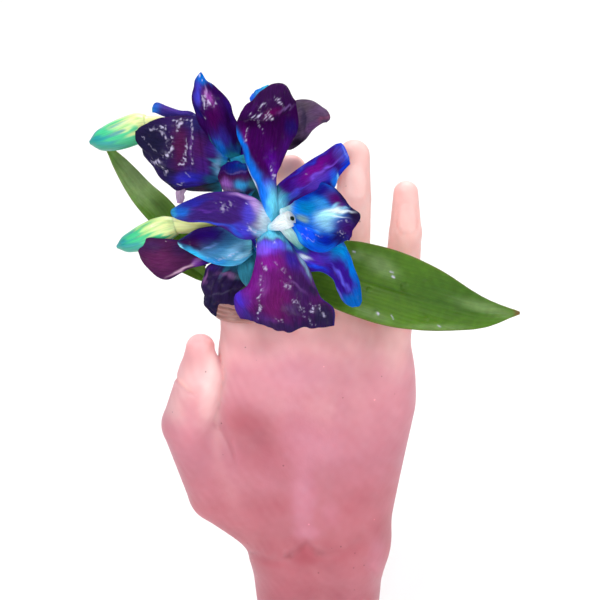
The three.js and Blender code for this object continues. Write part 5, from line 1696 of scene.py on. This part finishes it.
# %% Lower bloom: lip
lower_lip = petal([
    [(252, 234, -31), (252, 241, -30.5), (252, 247, -31), (252, 252, -32.5), (253, 254, -34)],
    [(238, 228, -34), (237, 237, -31), (237, 250, -32), (237, 260, -35), (240, 264, -38)],
    [(222, 226, -35), (221, 237, -32), (220, 249, -32.5), (220, 259, -36), (225, 265.5, -39.5)],
    [(207, 226.5, -35), (206, 237, -32.5), (205, 247, -33), (205, 254, -36), (209, 262.5, -38.5)],
    [(192, 231.5, -34), (191, 238, -32), (191, 245, -32.5), (192, 249, -34.5), (194, 255, -36)],
    [(178, 240.5, -32), (177.5, 242, -31.5), (178, 244, -32), (179, 245.5, -32.5), (180, 247, -33)],
], crinkle=0.18, pitch=6, seed=75, rows=90, columns=80, folds=[
    (0.4, 1.6, (200, 250), (212, 243), (224, 231)),
], paint=dyed(colour(90, 170, 196), colour(92, 158, 198), CYAN, colour(60, 170, 232),
              reach=0.1, rim_width=0.02, rim_strength=0.2, back=0.0, marks=[
    (222, 241, 17, 9, -35, (66, 126, 168), 0.95), (213, 252, 14, 3, -18, (88, 150, 198), 0.8),
    (236, 250, 15, 5, -35, (146, 206, 240), 0.85), (241, 258, 13, 3, -38, (176, 226, 246), 0.7),
    (250, 243, 5, 8, 10, (150, 232, 246), 0.9), (200, 236.5, 28, 12.5, -14, (58, 18, 96), 1),
    (208, 233, 17, 8, -8, (56, 20, 122), 0.95), (189, 243.5, 16, 6, 14, (68, 20, 80), 0.95),
    (200, 230, 28, 2.4, -18, (60, 28, 110), 0.9), (208, 247.5, 9, 1.4, -25, (120, 150, 206), 0.8),
    (181, 248, 7, 2, 42, (160, 230, 246), 1), (196, 255, 14, 3, 31, (66, 186, 232), 1),
    (216, 262, 14, 3, 12, (60, 160, 226), 0.95), (234, 263.5, 12, 2.4, -14, (90, 186, 228), 0.9),
], wet=[
    (232, 252, 16, 8, -20, 0.6),
], glints=[
    (1, 0.6, (214, 261), (226, 257), (240, 252)), (0.8, 0.5, (230, 262), (244, 258), (252, 250)),
]))
make("bloom_lower_boat", [lower_lip], [lip_skin], "bloom_lower_lip")

# %% [markdown]
# ## The back bloom
# It faces away from us, towards the palm side. From the front only thin, brownish petals show, their smoky
# colours painted for the light coming through them, and one ragged light blue edge.

# %% Back bloom: petals that show
back_right_petal = petal([
    [(272, 122, -14), (274, 129, -14.5), (276, 136, -14)],
    [(286, 106, -15), (289, 124, -17), (288, 150, -15)],
    [(298, 100, -15.5), (302, 118, -18), (304, 141, -15.5)],
    [(312, 100.5, -15), (315, 115, -17), (313, 130, -15)],
    [(323, 108.5, -14), (325, 115, -15), (322, 124, -14)],
    [(327, 115, -13.5), (328.5, 119, -13.5), (326, 121, -13.5)],
], crinkle=0.4, pitch=7, ruffle=0.4, waves=2, seed=81, rows=90, columns=60, folds=[
    (0.5, 2, (300, 104), (303, 120), (300, 138)), (0.4, 1.6, (312, 104), (320, 112), (326, 118)),
    (-0.4, 2, (306, 108), (308, 128)),
], paint=dyed(SMOKE, SMOKE, SMOKE, INK, reach=0.2, rim_width=0.05, back=0.4, marks=[
    (305, 106, 10, 6, 0, (98, 88, 98), 0.8), (316, 112, 9, 6, 20, (112, 86, 120), 0.85),
    (304, 121, 14, 2.4, 85, (64, 54, 84), 0.8), (322, 118, 7, 2, -40, (150, 88, 120), 0.7),
    (297, 143, 10, 6, -30, (38, 20, 46), 0.95), (312, 126, 9, 3, -40, (120, 78, 130), 0.7),
    (292, 130, 8, 8, 0, (50, 34, 66), 0.7),
]))
back_ragged_petal = petal([
    [(268, 122, -12.5), (271, 122, -13), (274, 122, -12.5)],
    [(259, 112, -11.5), (266, 109, -12.5), (271, 107, -11.5)],
    [(251, 102, -10.5), (260, 98, -11), (270, 94, -10.5)],
    [(251, 95, -9.8), (257, 89.5, -10), (268.5, 84.5, -9.8)],
], crinkle=0.4, pitch=4, ruffle=0.5, waves=3, seed=83, paint=dyed(CYAN, SKY, SKY, CYAN, marks=[
    (258, 93, 10, 3, -40, (80, 160, 226), 0.9), (266, 87, 5, 4, 0, (70, 185, 215), 0.9),
    (253, 98, 5, 3, 90, (58, 104, 214), 0.9),
]))

# %% [markdown]
# The rest of it is seen only from behind: three petals and a lip with a strong roll, all with spines.

# %% Back bloom: the far side
BACK_ROOT, BACK_FACING, BACK_ROLL = [-17, -13, 227], [0.2, 0.9, 0.4], [0.4, 0.3]
BACK_PETALS = [  # the spine after the root, half widths, and the look
    ([[-12, -12, 230.5], [-7, -10, 233.5]], [2, 3.4, 4.4, 3.8, 2],
     dict(seed=85, crinkle=0.3, paint=dyed(CYAN, SMOKE, MAUVE, SMOKE))),
    ([[-26, -8, 225], [-33.5, -3, 222.5]], [2.5, 4.5, 5.4, 5, 2.2],
     dict(seed=86, crinkle=0.4, ruffle=0.4, paint=dyed(CYAN, PURPLE, INK, INK))),
    ([[-15, -5, 225], [-12, 4, 224]], SEPAL_HALVES,
     dict(seed=87, crinkle=0.2, paint=dyed(CYAN, VIOLET, SKY, SKY))),
]
back_far_side = [blade(spined([BACK_ROOT, *points], halves, BACK_FACING, BACK_ROLL), **look)
                 for points, halves, look in BACK_PETALS]
back_column = stalk_and_column(
    [BACK_ROOT, [-21, -14, 219], [-27, -15.5, 208], [-34, -16.5, 200]],
    [BACK_ROOT, [-16.5, -10, 230], [-16, -7.5, 232.5]], [2.2, 2, 1.2], [ICE, ICE, WHITE])
back_petals = [back_right_petal, back_ragged_petal] + back_far_side
make("bloom_back_petals", back_petals + back_column, [petal_skin, column_skin], "bloom_back")

# %% Back bloom: lip
back_lip = blade(
    spined([[-17, -9, 230.5], [-16, -3, 233], [-14, 2, 240]], [3, 6, 7.5, 6, 1.5], [-0.3, -0.6, 1], [1.3, 1]),
    rows=80, columns=60, seed=89, crinkle=0.2, ruffle=0.3,
    paint=dyed(CYAN, CYAN, INK, ROYAL, [(280, 106, 7, 7, 0, WHITE, 0.8), (285, 86, 16, 7, 0, INK, 0.8)]))
make("bloom_back_scoop", [back_lip], [lip_skin], "bloom_back_lip")

# %% [markdown]
# ## The floor
# The object stands on a pale floor that bends up into a pale wall, so no edge shows behind it. It is
# one strip of paper: flat, then a quarter circle, then upright.

# %% Floor and wall
FLOOR_FRONT, FLOOR_BACK, FLOOR_HALF, WALL_TOP, BEND, BEND_STEPS = -1.6, 1.0, 2.4, 1.6, 0.35, 16
profile = [(FLOOR_FRONT, 0), (FLOOR_BACK - BEND, 0)]
for turn in np.linspace(0, math.pi / 2, BEND_STEPS)[1:]:
    profile.append((FLOOR_BACK - BEND + BEND * math.sin(turn), BEND * (1 - math.cos(turn))))
profile.append((FLOOR_BACK, WALL_TOP))
corners = [(side * FLOOR_HALF, y, z) for y, z in profile for side in (-1, 1)]
strips = [(2 * i, 2 * i + 1, 2 * i + 3, 2 * i + 2) for i in range(len(profile) - 1)]
backdrop = bpy.data.meshes.new("backdrop")
backdrop.from_pydata(corners, [], strips)
backdrop.shade_smooth()
paper = finish("backdrop_paper", Base_Color=(0.86, 0.85, 0.85, 1), Roughness=0.9)
backdrop.materials.append(paper)
floor = bpy.data.objects.new("backdrop", backdrop)
bpy.context.scene.collection.objects.link(floor)
print("backdrop:", len(strips), "strips")

# %% [markdown]
# ## The light
# Large soft lamps do what a bright window does: a key lamp from the upper left, a weaker one on the
# right, and one behind and above, which makes the glass glow at its edges. A fourth one lights the
# wall. Four small ones give the wet petals something bright to mirror, and a dim, even sky keeps the
# shadows open.

# %% Lamps and sky
def lamp(name, place, size, power, aim=None):
    light = bpy.data.lights.new(name, "AREA")
    light.size, light.energy = size, power
    holder = bpy.data.objects.new(name, light)
    holder.location = place
    towards = Vector(aim or [MM * k for k in AIM]) - Vector(place)
    holder.rotation_euler = towards.to_track_quat("-Z", "Y").to_euler()
    bpy.context.scene.collection.objects.link(holder)


lamp("key", (-0.5, -0.55, 0.95), 0.22, 4.9)
lamp("fill", (0.9, -0.6, 0.5), 0.5, 3)
lamp("back", (0.1, 0.35, 0.95), 0.5, 3.5)
lamp("wall", (0, 0.42, 1.05), 0.6, 6, aim=(0, 1.0, 0.3))
SPARKS = [(-0.4, -0.72, 0.62), (0.16, -0.72, 0.74), (-0.16, -0.9, 0.3), (0.42, -0.75, 0.42)]
for number, spark in enumerate(SPARKS):
    lamp(f"spark_{number}", spark, 0.08, 1.12)
SKY_COLOUR, SKY_STRENGTH = (0.95, 0.97, 1, 1), 0.24
world = bpy.data.worlds.new("studio")
world.use_nodes = True
world.node_tree.nodes["Background"].inputs["Color"].default_value = SKY_COLOUR
world.node_tree.nodes["Background"].inputs["Strength"].default_value = SKY_STRENGTH
bpy.context.scene.world = world
bpy.context.scene.view_settings.view_transform = "Standard"
